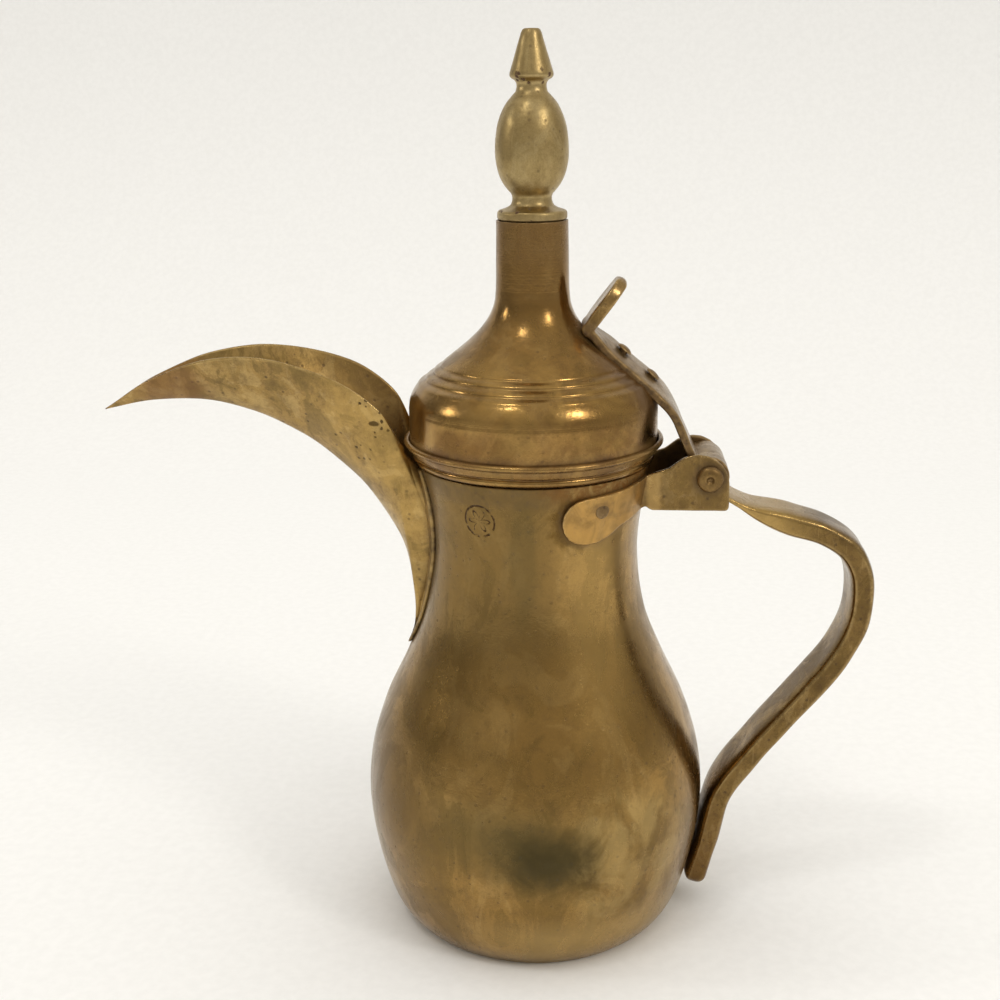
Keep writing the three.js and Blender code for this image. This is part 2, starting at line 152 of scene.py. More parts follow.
class Tree:  # short ways to add and join nodes
    def __init__(self, tree):
        self.tree = tree

    def add(self, kind, **settings):
        node = self.tree.nodes.new(kind)
        for key, value in settings.items():
            setattr(node, key, value)
        return node

    def put(self, socket, value):
        if isinstance(value, bpy.types.NodeSocket):
            self.tree.links.new(value, socket)
        elif value is not None:
            socket.default_value = value

    def math(self, operation, a, b=None, c=None, clamp=False):
        node = self.add("ShaderNodeMath", operation=operation, use_clamp=clamp)
        for socket, value in zip(node.inputs, (a, b, c)):
            self.put(socket, value)
        return node.outputs[0]

    def times(self, first, *others, clamp=False):
        for value in others:
            first = self.math("MULTIPLY", first, value, clamp=clamp)
        return first

    def plus(self, first, *others, clamp=False):
        for value in others:
            first = self.math("ADD", first, value, clamp=clamp)
        return first

    def centred(self, value, amount):  # swings either side of zero
        return self.times(self.minus(value, 0.5), amount)

    def minus(self, a, b, clamp=False):
        return self.math("SUBTRACT", a, b, clamp=clamp)

    def split(self, vector):
        node = self.add("ShaderNodeSeparateXYZ")
        self.put(node.inputs[0], vector)
        return node.outputs

    def vector(self, operation, a, b=None, scale=None):
        node = self.add("ShaderNodeVectorMath", operation=operation)
        self.put(node.inputs[0], a)
        self.put(node.inputs[1], b)
        if scale is not None:
            self.put([s for s in node.inputs if s.name == "Scale"][0], scale)
        return node.outputs["Value" if operation in ("LENGTH", "DISTANCE", "DOT_PRODUCT") else 0]

    def span(self, value, low, high, toLow=0.0, toHigh=1.0, smooth=True):
        node = self.add("ShaderNodeMapRange", interpolation_type="SMOOTHSTEP" if smooth else "LINEAR")
        for socket, v in zip(node.inputs[:5], (value, low, high, toLow, toHigh)):
            self.put(socket, v)
        return node.outputs[0]

    def mix(self, factor, a, b, blend="MIX"):
        node = self.add("ShaderNodeMix", data_type="RGBA", blend_type=blend)
        self.put(node.inputs[0], factor)
        self.put(node.inputs[6], a)
        self.put(node.inputs[7], b)
        return node.outputs[2]

    def tint(self, color, mask, amount, target):
        return self.mix(self.times(mask, amount), color, target)

    def noise(self, vector, scale, detail=4.0, roughness=0.5, distortion=0.0):
        node = self.add("ShaderNodeTexNoise")
        labels = ("Vector", "Scale", "Detail", "Roughness", "Distortion")
        for label, value in zip(labels, (vector, scale, detail, roughness, distortion)):
            self.put(node.inputs[label], value)
        return node.outputs[0]

    def cells(self, vector, scale):  # distance to a cell's centre, and one random number for each cell
        node = self.add("ShaderNodeTexVoronoi")
        self.put(node.inputs["Vector"], vector)
        self.put(node.inputs["Scale"], scale)
        chance = self.add("ShaderNodeSeparateColor")
        self.put(chance.inputs[0], node.outputs["Color"])
        return node.outputs["Distance"], chance.outputs[0]

    def stretched(self, vector, scale, turn=(0, 0, 0), place=(0, 0, 0)):
        node = self.add("ShaderNodeMapping")
        self.put(node.inputs["Vector"], vector)
        node.inputs["Location"].default_value = place
        node.inputs["Rotation"].default_value = turn
        node.inputs["Scale"].default_value = scale
        return node.outputs[0]


def groupOf(name, kind, ins, outs):  # a node group with named sockets
    tree = bpy.data.node_groups.new(name, kind)
    for label, socketType, default in ins:
        socket = tree.interface.new_socket(name=label, in_out="INPUT", socket_type=socketType)
        if default is not None:
            socket.default_value = default
    for label, socketType in outs:
        tree.interface.new_socket(name=label, in_out="OUTPUT", socket_type=socketType)
    t = Tree(tree)
    return t, t.add("NodeGroupInput"), t.add("NodeGroupOutput")

# geometry node trees

def closeTree(t, gin, gout, geometry):
    real = t.add("GeometryNodeRealizeInstances")
    t.put(real.inputs[0], geometry)
    paint = t.add("GeometryNodeSetMaterial")
    t.put(paint.inputs["Geometry"], real.outputs[0])
    t.put(paint.inputs["Material"], gin.outputs["Material"])
    t.put(gout.inputs[0], paint.outputs[0])
    return t.tree


def turnedTree():  # turns a profile (x is the radius, z the height) round the pot's axis
    t, gin, gout = groupOf("turnedPiece", "GeometryNodeTree", [
        ("Profile", "NodeSocketGeometry", None), ("Facets", "NodeSocketInt", 160),
        ("Dent Size", "NodeSocketFloat", 0.03), ("Dent Height", "NodeSocketFloat", 0.0),
        ("Ring Size", "NodeSocketFloat", 0.002), ("Ring Height", "NodeSocketFloat", 0.0),
        ("Seed", "NodeSocketFloat", 0.0), ("Material", "NodeSocketMaterial", None),
    ], [("Geometry", "NodeSocketGeometry")])
    size = t.add("GeometryNodeAttributeDomainSize", component="MESH")
    t.put(size.inputs[0], gin.outputs["Profile"])
    row = t.plus(gin.outputs["Facets"], 1.0)
    grid = t.add("GeometryNodeMeshGrid")
    grid.inputs["Size X"].default_value = 1.0
    grid.inputs["Size Y"].default_value = 1.0
    t.put(grid.inputs["Vertices X"], size.outputs["Point Count"])
    t.put(grid.inputs["Vertices Y"], row)
    index = t.add("GeometryNodeInputIndex").outputs[0]
    column = t.math("FLOOR", t.math("DIVIDE", index, row))
    step = t.minus(index, t.times(column, row))
    turn = t.times(t.math("DIVIDE", step, gin.outputs["Facets"]), math.tau)
    sample = t.add("GeometryNodeSampleIndex", data_type="FLOAT_VECTOR")
    t.put(sample.inputs["Geometry"], gin.outputs["Profile"])
    t.put(sample.inputs["Value"], t.add("GeometryNodeInputPosition").outputs[0])
    t.put(sample.inputs["Index"], column)
    radius, _, height = t.split(sample.outputs[0])
    place = t.add("ShaderNodeCombineXYZ")
    t.put(place.inputs[0], t.times(radius, t.math("COSINE", turn)))
    t.put(place.inputs[1], t.times(radius, t.math("SINE", turn)))
    t.put(place.inputs[2], height)
    first = t.add("GeometryNodeSetPosition")
    t.put(first.inputs["Geometry"], grid.outputs["Mesh"])
    t.put(first.inputs["Position"], place.outputs[0])
    # shallow dents and the faint rings a turning tool leaves, moved along the radius only
    here = t.add("GeometryNodeInputPosition").outputs[0]
    flat = t.vector("MULTIPLY", here, (1.0, 1.0, 0.0))
    outward = t.vector("NORMALIZE", flat)
    shifted = t.vector("ADD", here, t.vector("SCALE", (1.0, 0.7, 0.4), scale=gin.outputs["Seed"]))
    dent = t.noise(shifted, t.math("DIVIDE", 1.0, gin.outputs["Dent Size"]), detail=2.0)
    dent = t.times(t.minus(dent, 0.5), gin.outputs["Dent Height"])
    rings = t.vector("MULTIPLY", here, (0.0, 0.0, 1.0))
    ring = t.noise(rings, t.math("DIVIDE", 1.0, gin.outputs["Ring Size"]), detail=2.0)
    ring = t.times(t.minus(ring, 0.5), gin.outputs["Ring Height"])
    near = t.span(t.vector("LENGTH", flat), 0.0, 0.004)  # nothing moves at a pole
    push = t.times(t.plus(dent, ring), near)
    second = t.add("GeometryNodeSetPosition")
    t.put(second.inputs["Geometry"], first.outputs[0])
    t.put(second.inputs["Offset"], t.vector("SCALE", outward, scale=push))
    weld = t.add("GeometryNodeMergeByDistance")
    t.put(weld.inputs["Geometry"], second.outputs[0])
    weld.inputs["Distance"].default_value = 2e-6
    return closeTree(t, gin, gout, weld.outputs[0])


def randomBetween(t, low, high, seed):
    node = t.add("FunctionNodeRandomValue", data_type="FLOAT")
    ends = [s for s in node.inputs if s.type == "VALUE" and s.enabled]
    t.put(ends[0], low)
    t.put(ends[1], high)
    t.put([s for s in node.inputs if s.name == "Seed"][0], seed)
    return [s for s in node.outputs if s.enabled][0]


def rivetTree():  # sets a copy of one rivet on every point, aimed by the points' own direction
    t, gin, gout = groupOf("setRivets", "GeometryNodeTree", [
        ("Points", "NodeSocketGeometry", None), ("Rivet", "NodeSocketObject", None),
        ("Size Change", "NodeSocketFloat", 0.03), ("Seed", "NodeSocketInt", 3),
        ("Material", "NodeSocketMaterial", None),
    ], [("Geometry", "NodeSocketGeometry")])
    aim = t.add("GeometryNodeInputNamedAttribute", data_type="FLOAT_VECTOR")
    aim.inputs[0].default_value = "aim"
    turn = t.add("FunctionNodeAlignRotationToVector", axis="Z")
    t.put(turn.inputs["Vector"], aim.outputs[0])
    twist = t.add("ShaderNodeCombineXYZ")
    t.put(twist.inputs[2], randomBetween(t, 0.0, math.tau, gin.outputs["Seed"]))
    asTurn = t.add("FunctionNodeEulerToRotation")
    t.put(asTurn.inputs[0], twist.outputs[0])
    spun = t.add("FunctionNodeRotateRotation", rotation_space="LOCAL")
    t.put(spun.inputs[0], turn.outputs[0])
    t.put(spun.inputs[1], asTurn.outputs[0])
    size = randomBetween(t, t.minus(1.0, gin.outputs["Size Change"]), 1.0, gin.outputs["Seed"])
    shape = t.add("GeometryNodeObjectInfo")
    t.put(shape.inputs["Object"], gin.outputs["Rivet"])
    spread = t.add("GeometryNodeInstanceOnPoints")
    t.put(spread.inputs["Points"], gin.outputs["Points"])
    t.put(spread.inputs["Instance"], shape.outputs["Geometry"])
    t.put(spread.inputs["Rotation"], spun.outputs[0])
    t.put(spread.inputs["Scale"], size)
    return closeTree(t, gin, gout, spread.outputs[0])


turnedPiece = turnedTree()
setRivets = rivetTree()


def withTree(piece, tree, values):  # runs a tree on a piece, its inputs set by identifier
    modifier = piece.modifiers.new(tree.name, "NODES")
    modifier.node_group = tree
    for item in tree.interface.items_tree:
        if item.item_type == "SOCKET" and item.in_out == "INPUT" and item.name in values:
            modifier[item.identifier] = values[item.name]


def turned(name, profile, **values):  # profile in millimetres, a list of (radius, height)
    outline = [(r * mm, 0.0, z * mm) for r, z in profile]
    piece = bpy.data.objects.new(name + "Profile", bpy.data.meshes.new(name + "Profile"))
    piece.data.from_pydata(outline, [(i, i + 1) for i in range(len(outline) - 1)], [])
    scene.collection.objects.link(piece)
    withTree(piece, turnedPiece, values)
    return settled(piece, name)


def ringOf(points):  # closes an outline on itself
    return np.vstack([points, points[:1]])


print("node trees ready")

# pot body

potShape = {
    "outline": [
        (44.5, 0), (47.6, 3.2), (50.9, 8.4), (53.9, 17), (56.6, 28.5), (58.5, 45), (57.1, 61),
        (52, 78), (44.1, 95), (37.7, 111.5), (34.9, 133), (36.1, 149), (38.4, 163.9),
    ],
    "sheet": 1.4,
    "foot": 44.5,
    "rim": 163.9,
    "footRound": 0.9,
    "rimRound": 0.6,
    "window": [(-1.2, 117), (1.2, 117), (9, 155.5), (-9, 155.5)],  # pour window, (y, z)
    "facets": 176,
    "dentSize": 0.026,
    "dentHeight": 0.0006,
}
potSkin = curveThrough(potShape["outline"], 110)


def potRadius(z):
    return np.interp(z, potSkin[:, 1], potSkin[:, 0])


potSheet = potShape["sheet"]
solderGap = 0.12  # between two pieces that touch
potInside = sideways(potSkin, -potSheet)
potInside = potInside[(potInside[:, 1] > 1) & (potInside[:, 1] < potShape["rim"] - 0.5)][::2]
footInside = (potShape["foot"] - potSheet, 0.0)
lipOut = potSkin[-1]
potOutline = np.vstack([
    softened([footInside, (43.9, 0.0), (44.9, 0.35), *potSkin[2:-1]], potShape["footRound"], 3),
    softened([potSkin[-2], lipOut, (lipOut[0] - potSheet, lipOut[1]), potInside[-1]],
             potShape["rimRound"], 4)[1:-1],
    potInside[::-1],
])
body = turned("potBody", ringOf(potOutline), **{
    "Facets": potShape["facets"], "Dent Size": potShape["dentSize"], "Dent Height": potShape["dentHeight"],
    "Ring Size": 0.004, "Ring Height": 0.00004, "Seed": 0.31,
})
cutY = [y * mm for y, _ in potShape["window"]]
cutZ = [z * mm for _, z in potShape["window"]]
cutter = meshObject("windowCutter", [
    (x, cutY[i], cutZ[i]) for x in (-0.055, -0.025) for i in range(4)
], [(0, 1, 2, 3), (7, 6, 5, 4), (0, 4, 5, 1), (1, 5, 6, 2), (2, 6, 7, 3), (3, 7, 4, 0)])
cut = body.modifiers.new("window", "BOOLEAN")
cut.operation, cut.solver, cut.object = "DIFFERENCE", "EXACT", cutter
body = settled(body, "potBody")
drop(cutter)
pieces["potBody"] = (body, "pot", "aged_brass", ["body_shell"])

basePlateShape = {"radius": 42.8, "thickness": 1.6, "edge": 0.45, "rings": (12, 22, 31), "ringDepth": 0.25}
plateTop = [(0, basePlateShape["thickness"]), (basePlateShape["radius"], basePlateShape["thickness"]),
            (basePlateShape["radius"], 0.15)]
plateUnder = [(basePlateShape["radius"] - 0.6, 0.1)]
for r in reversed(basePlateShape["rings"]):  # turned rings underneath
    plateUnder += [(r + 0.7, 0.1), (r, 0.1 + basePlateShape["ringDepth"]), (r - 0.7, 0.1)]
plateOutline = softened([*plateTop, *plateUnder, (0, 0.1)], basePlateShape["edge"], 3)
plate = turned("basePlate", plateOutline[::-1], **{
    "Facets": 128, "Dent Size": 0.03, "Dent Height": 0.0, "Seed": 0.7,
})
pieces["basePlate"] = (plate, "pot", "aged_brass", ["base_plate"])

mouthShape = {"inner": 34.0, "low": 158.5, "high": 163.8, "round": 0.7}
mouthOuter = [potRadius(z) - potSheet - solderGap for z in (mouthShape["low"], mouthShape["high"])]
mouthOutline = softened([
    (mouthShape["inner"], mouthShape["low"]), (mouthOuter[0], mouthShape["low"]),
    (mouthOuter[1], mouthShape["high"]), (mouthShape["inner"], mouthShape["high"]),
], mouthShape["round"], 4, closed=True)
mouth = turned("mouthRing", ringOf(mouthOutline),
               **{"Facets": 128, "Ring Size": 0.002, "Ring Height": 0.00006})
pieces["mouthRing"] = (mouth, "pot", "seat_brass", ["mouth_ring"])
print("pot body made")

# lid

domeShape = {
    "skin": [
        (40.9, 182), (40.3, 185.6), (37.7, 190), (34, 193), (30.4, 196), (25.4, 200), (20.6, 204),
        (16.6, 208), (13.9, 212), (12.4, 216), (11.9, 220),
    ],
    "wallRadius": 40.9,
    "seat": 170.35,
    "tubeTop": 242.15,
    "tubeRadius": 11.5,
    "sheet": 1.2,
    "grooves": (191.6, 193.7, 195.8),
    "grooveDepth": 0.5,
    "grooveWidth": 0.5,
    "lip": 0.22,
    "round": 0.35,
}
domeTube = np.column_stack([np.linspace(11.88, domeShape["tubeRadius"], 24), np.linspace(220.6, 241.7, 24)])
domeWall = np.column_stack([np.full(16, domeShape["wallRadius"]), np.linspace(171, 181.4, 16)])
domeSkin = np.vstack([domeWall, curveThrough(domeShape["skin"], 130), domeTube])
domePlain = domeSkin.copy()
for z in domeShape["grooves"]:  # a cut with a lip thrown up on its lower side
    away = domeSkin[:, 1] - z
    domeSkin[:, 0] -= domeShape["grooveDepth"] * np.exp(-(away / domeShape["grooveWidth"]) ** 2)
    domeSkin[:, 0] += domeShape["lip"] * np.exp(-((away + 1.05) / 0.55) ** 2)
domeInside = sideways(domePlain, -domeShape["sheet"])[::2]
domeInside = domeInside[(domeInside[:, 1] > 171) & (domeInside[:, 1] < 241.6)]
domeOutline = softened([
    (domeShape["wallRadius"] - domeShape["sheet"], domeShape["seat"]),
    (domeShape["wallRadius"], domeShape["seat"]),
    *domeSkin, (domeShape["tubeRadius"], domeShape["tubeTop"]),
    (domeShape["tubeRadius"] - domeShape["sheet"], domeShape["tubeTop"]), *domeInside[::-1],
], domeShape["round"], 3, closed=True)
dome = turned("lidDome", ringOf(domeOutline), **{
    "Facets": 160, "Dent Size": 0.02, "Dent Height": 0.0004, "Ring Size": 0.0016, "Ring Height": 0.00005,
    "Seed": 1.3,
})
pieces["lidDome"] = (dome, "lid", "aged_brass", ["lid_shell"])

bandShape = {
    "outline": [
        (33.5, 164.4), (38.7, 164.4), (39.6, 164.9), (40.1, 165.8), (39.9, 166.5), (39.5, 166.9),
        (39.6, 167.2), (40.5, 167.5), (41.1, 168.6), (41.5, 169.7), (41.3, 170.0), (41.6, 170.25),
        (42.5, 170.3), (42.9, 170.8), (42.9, 171.4), (42.4, 172.0), (41.5, 172.1), (41.15, 171.7),
        (41.15, 170.05), (33.5, 170.05),
    ],
    "round": 0.4,
}
band = turned("lidBand", ringOf(softened(bandShape["outline"], bandShape["round"], 4, closed=True)), **{
    "Facets": 176, "Dent Size": 0.018, "Dent Height": 0.0002, "Ring Size": 0.001, "Ring Height": 0.00004,
    "Seed": 2.1,
})
pieces["lidBand"] = (band, "lid", "aged_brass", ["lid_band"])

collarShape = {
    "outline": [
        (32.0, 156.4), (32.3, 155.9), (32.9, 155.9), (33.2, 156.6), (33.2, 170.25), (37.4, 170.25),
        (37.4, 171.4), (32.0, 171.4),
    ],
    "round": 0.4,
}
collarOutline = softened(collarShape["outline"], collarShape["round"], 3, closed=True)
collar = turned("lidCollar", ringOf(collarOutline),
                **{"Facets": 128, "Ring Size": 0.003, "Ring Height": 0.00005})
pieces["lidCollar"] = (collar, "lid", "seat_brass", ["lid_collar"])

finialShape = {
    "plug": [(0, 229.2), (9.2, 229.2), (9.9, 230.2), (9.9, 242.4)],
    "disc": [(10.8, 242.35), (11.15, 242.9), (11.15, 244.5), (10.7, 245.2), (8.4, 245.9), (7.0, 246.7)],
    "neck": [(6.5, 247.5), (6.3, 248.4), (6.25, 249.5), (6.7, 250.5)],
    "bulb": [
        (7.4, 251.2), (8.9, 253.1), (10.1, 255.3), (10.9, 257.7), (11.5, 261), (11.6, 264.5), (11.3, 268.3),
        (10.6, 272), (9.4, 275.3), (7.9, 278), (6.3, 279.9),
    ],
    "cone": [(5.0, 281.3), (4.65, 282.6), (4.7, 283.8), (5.3, 284.7), (6.3, 285.2), (6.9, 286), (6.8, 286.9)],
    "tip": [(3.2, 298.6), (2.7, 299.6), (1.9, 299.95), (1.2, 299.5), (0.6, 298.8), (0, 298.6)],
}
finialOutline = np.vstack([
    softened([*finialShape["plug"], *finialShape["disc"], *finialShape["neck"]], 0.35, 3),
    curveThrough(finialShape["bulb"], 50),
    softened([*finialShape["cone"], *finialShape["tip"]], 0.5, 4),
])
longCone = [(6.8 - 3.6 * k, 286.9 + 11.7 * k) for k in np.linspace(0.06, 0.94, 12)]
coneAt = int(np.argmax(finialOutline[:, 1] > 290))
finialOutline = np.vstack([finialOutline[:coneAt], longCone, finialOutline[coneAt:]])
finial = turned("finial", finialOutline, **{
    "Facets": 112, "Dent Size": 0.006, "Dent Height": 0.00022, "Ring Size": 0.0012, "Ring Height": 0.00009,
    "Seed": 3.4,
})
pieces["finial"] = (finial, "lid", "pale_brass", ["finial"])
print("lid turned")

# spout

spoutShape = {
    "keel": [
        (-41.2, 101.5), (-40.1, 112), (-44.2, 134), (-55, 152.5), (-69, 166.4), (-87, 177.3), (-106, 183.3),
        (-126, 183.6), (-144, 180.2),
    ],
    "rim": [  # (x, half width, z) of the upper edge
        (-39.6, 16.6, 167), (-43.6, 17.2, 174.6), (-47.8, 17.8, 182.5), (-58, 18.2, 191),
        (-71.5, 16.6, 196.6),
        (-88.5, 12.9, 199.8), (-107, 9.6, 198.3), (-126.5, 6.2, 191.2), (-144, 0.3, 180.4),
    ],
    "seam": [  # (height, half width) of the soldered edge on the neck
        (97.6, 0.0), (98.6, 2.2), (101.5, 4.1), (107, 5.9), (114, 7.8), (120, 9.6), (128, 12.2), (136, 14.2),
        (143, 15.8), (150, 16.6), (156, 16.5), (160, 15.6), (163.2, 14.4),
    ],
    "flange": 3.9,      # width of the strip that lies on the neck
    "sheet": 1.15,
    "rows": 190,
    "columns": 56,      # from keel to rim
}
keelLine = curveThrough(spoutShape["keel"], 400)
rimLine = curveThrough(spoutShape["rim"], 400)
seamLine = curveThrough(spoutShape["seam"], 400)
rowSteps = np.linspace(0, 1, 400)


def onPot(half, z, lift):  # a point on the neck's spout side
    r = potRadius(z) + lift
    half = np.minimum(half, r * 0.98)
    return np.stack([-np.sqrt(r * r - half * half), half, z], axis=-1)


def bandClear(points):  # keeps the sheet outside the lid's band
    flat = np.hypot(points[..., 0], points[..., 1])
    least = np.where(points[..., 2] > 163.2, 38.7 + 5.0 * ramp(163.2, 169.5, points[..., 2]), 0)
    grow = np.maximum(1, least / np.maximum(flat, 1e-6))
    points[..., 0] *= grow
    points[..., 1] *= grow
    return points


def spoutRow(t, across, inside):  # across runs from 0 at the keel to 1 at the rim
    keel = np.array([np.interp(t, rowSteps, keelLine[:, k]) for k in (0, 1)])
    rim = np.array([np.interp(t, rowSteps, rimLine[:, k]) for k in (0, 1, 2)])
    tall = math.hypot(rim[0] - keel[0], rim[2] - keel[1]) + 0.01
    floor = min(0.5, 1.5 * spoutShape["sheet"] / tall) if inside else 0
    rise = floor + (1 - floor) * across
    bulge = 0.5 + 0.3 * min(1, 2 * t)
    outer = rim[1] * across ** bulge
    half = np.maximum(0.4 * outer, outer - spoutShape["sheet"]) if inside else outer
    return np.stack([keel[0] + (rim[0] - keel[0]) * rise, half, keel[1] + (rim[2] - keel[1]) * rise], axis=-1)


def spoutHalf(inside):  # rows of points from the soldered edge to the tip, for the +Y side
    c = spoutShape["columns"]
    across = np.linspace(0, 1, c + 1)
    across = 0.5 * across + 0.5 * (1 - (1 - across) ** 1.6)
    seamZ = np.interp(across, rowSteps, seamLine[:, 0])
    seamHalf = np.interp(across, rowSteps, seamLine[:, 1])
    lift = 0.05 if inside else spoutShape["sheet"]
    seam = onPot(seamHalf, seamZ, lift)
    narrow = np.maximum(0.12 * seamHalf, seamHalf - spoutShape["flange"])
    foldZ = seamZ + 4.2 * (1 - ramp(0, 0.25, across))
    fold = onPot(narrow, np.minimum(foldZ, 163.2), lift)
    rows = [seam, 0.75 * seam + 0.25 * fold, 0.5 * seam + 0.5 * fold, 0.2 * seam + 0.8 * fold]
    for i in range(1, 4):  # the strip keeps to the neck
        rows[i] = onPot(rows[i][:, 1], rows[i][:, 2], lift)
    for t in np.linspace(0, 1, spoutShape["rows"]) ** 1.12:
        free = spoutRow(min(t, 0.997), across, inside)
        leave = float(ramp(0, 0.13, t))
        rows.append(fold * (1 - leave) + free * leave if t < 0.13 else free)
    rows = [bandClear(r.copy()) for r in rows]
    if inside:
        for r in rows:  # never inside the neck's wall
            flat = np.hypot(r[:, 0], r[:, 1])
            grow = np.where(r[:, 2] < 163.9, np.maximum(1, (potRadius(r[:, 2]) + 0.05) / flat), 1)
            r[:, 0] *= grow
            r[:, 1] *= grow
    return np.array(rows)


def spoutMesh():
    outer, inner = spoutHalf(False), spoutHalf(True)
    n, c = outer.shape[:2]
    mirror = np.array([1, -1, 1])
    lip = (outer[:, -1] + inner[:, -1]) / 2
    lipUp = np.zeros_like(lip)
    lipUp[:, 2] = 0.28
    lip = lip + lipUp * ramp(164, 170, lip[:, 2])[:, None]
    loops = [np.concatenate([
        (outer[i, ::-1] * mirror)[:-1], outer[i], [lip[i]], inner[i, ::-1], (inner[i, 1:] * mirror),
        [lip[i] * mirror],
    ]) for i in range(n)]
    count = len(loops[0])
    verts = np.concatenate(loops) * mm
    faces = []
    for i in range(n - 1):
        for j in range(count):
            a, b = i * count + j, i * count + (j + 1) % count
            faces.append((a, b, b + count, a + count))
    lastRow = (n - 1) * count
    tip = len(verts)
    verts = np.vstack([verts, np.array([[-144.2, 0, 180.3]]) * mm])
    faces += [(lastRow + j, lastRow + (j + 1) % count, tip) for j in range(count)]
    # the soldered edge closes outer face to inner face along its own strip
    c2 = 2 * c - 1
    inStart = c2 + 1
    for j in range(c2 - 1):
        k = inStart + (c2 - 1 - j)
        faces.append((j + 1, j, k, k - 1))
    faces.append((count - 1, inStart + c2 - 1, 0))
    faces.append((c2 - 1, inStart, c2))
    return verts, faces


spoutVerts, spoutFaces = spoutMesh()
spout = settled(meshObject("spoutRaw", spoutVerts, spoutFaces), "spout")
uneven(spout, 0.014, 0.00028, 4.0)
pieces["spout"] = (spout, "pot", "spout_brass", ["spout"])
print("spout made:", len(spout.data.vertices), "points")

# pieces remeshed from simple solids, so that their edges come out worn and round

def remeshed(name, parts, voxel, smooth):
    bpy.context.view_layer.update()
    work = bmesh.new()
    for part in parts:
        work.from_mesh(part.data)
    joined = bpy.data.meshes.new(name + "Join")
    work.to_mesh(joined)
    work.free()
    for part in parts:
        drop(part)
    piece = bpy.data.objects.new(name + "Join", joined)
    scene.collection.objects.link(piece)
    remesh = piece.modifiers.new("skin", "REMESH")
    remesh.mode, remesh.voxel_size = "VOXEL", voxel
    relax = piece.modifiers.new("worn", "SMOOTH")
    relax.factor, relax.iterations = 0.5, smooth
    return settled(piece, name)


def gridSolid(name, front, back):  # a closed solid between two grids of points, each [row][column]
    front, back = np.asarray(front), np.asarray(back)
    n, m = front.shape[:2]
    verts = np.concatenate([front.reshape(-1, 3), back.reshape(-1, 3)]) * mm
    far = n * m
    faces = []
    for i in range(n - 1):
        for j in range(m - 1):
            a = i * m + j
            faces.append((a, a + 1, a + m + 1, a + m))
            faces.append((far + a, far + a + m, far + a + m + 1, far + a + 1))
    edge = [j for j in range(m)] + [i * m + m - 1 for i in range(1, n)]
    edge += [(n - 1) * m + j for j in range(m - 2, -1, -1)] + [i * m for i in range(n - 2, 0, -1)]
    for k, a in enumerate(edge):
        b = edge[(k + 1) % len(edge)]
        faces.append((b, a, far + a, far + b))
    return settled(meshObject(name, verts, faces), name)

# hinge bracket

bracketShape = {
    "earFace": 14.0,
    "earSheet": 1.8,
    "wingSheet": 1.6,
    "right": 63.75,
    "bottom": 150.0,
    "fold": 2.2,        # radius of the folds along the web
    "webSheet": 1.75,
    "webStart": 36.9,
    "lower": [  # the wing's and ear's lower edge in side view, (x, z)
        (10.2, 152), (10.8, 148.9), (12.5, 146.4), (15.1, 144.7), (18.1, 144.1), (22, 144.5), (25.2, 146),
        (28.6, 148.2), (33, 149.6), (37, 151.6), (38, 150.6), (39.4, 150.1), (44, 150), (62.6, 150),
        (63.4, 150.4), (63.8, 151.2),
    ],
    "upper": [
        (10.2, 152), (10.8, 155.1), (12.5, 157.6), (15.1, 159.3), (18.1, 159.9), (23, 160.1), (30, 160.6),
        (36, 161.6), (41, 163.2), (44.4, 164.3), (46.6, 166), (48.6, 167.5), (51, 168.45), (53.7, 168.8),
        (56.6, 168.4), (59.2, 167.2), (61.4, 165.3), (62.9, 162.9), (63.6, 160.6), (63.8, 158.7),
    ],
    "bend": 0.6,        # softness of the bend from the wing to the ear
    "voxel": 0.00042,
}


def bracketSide(hand):
    tip = 10.2 + 7.9 * (1 - np.cos(np.linspace(0.06, math.pi / 2, 22)))
    stations = np.concatenate([tip, np.linspace(18.6, bracketShape["right"], 110)])
    low = np.array(bracketShape["lower"])
    high = np.array(bracketShape["upper"])
    front, back = [], []
    for x in stations:
        z = np.linspace(np.interp(x, low[:, 0], low[:, 1]), np.interp(x, high[:, 0], high[:, 1]), 30)
        bend = bracketShape["bend"]
        wall = potRadius(np.minimum(z, 163.9))
        faces = []
        for lift, ear in ((solderGap + bracketShape["wingSheet"], bracketShape["earFace"]),
                          (solderGap, bracketShape["earFace"] - bracketShape["earSheet"])):
            hug = np.sqrt(np.maximum((wall + lift) ** 2 - x * x, 0))
            k = np.exp(-np.abs(hug - ear) / bend) * bend * 0.35
            faces.append(np.maximum(hug, ear) + k * (1 if lift > 1 else 0.4))
        front.append(np.column_stack([np.full(30, x), hand * faces[0], z]))
        back.append(np.column_stack([np.full(30, x), hand * faces[1], z]))
    return gridSolid("bracketSide", front, back)


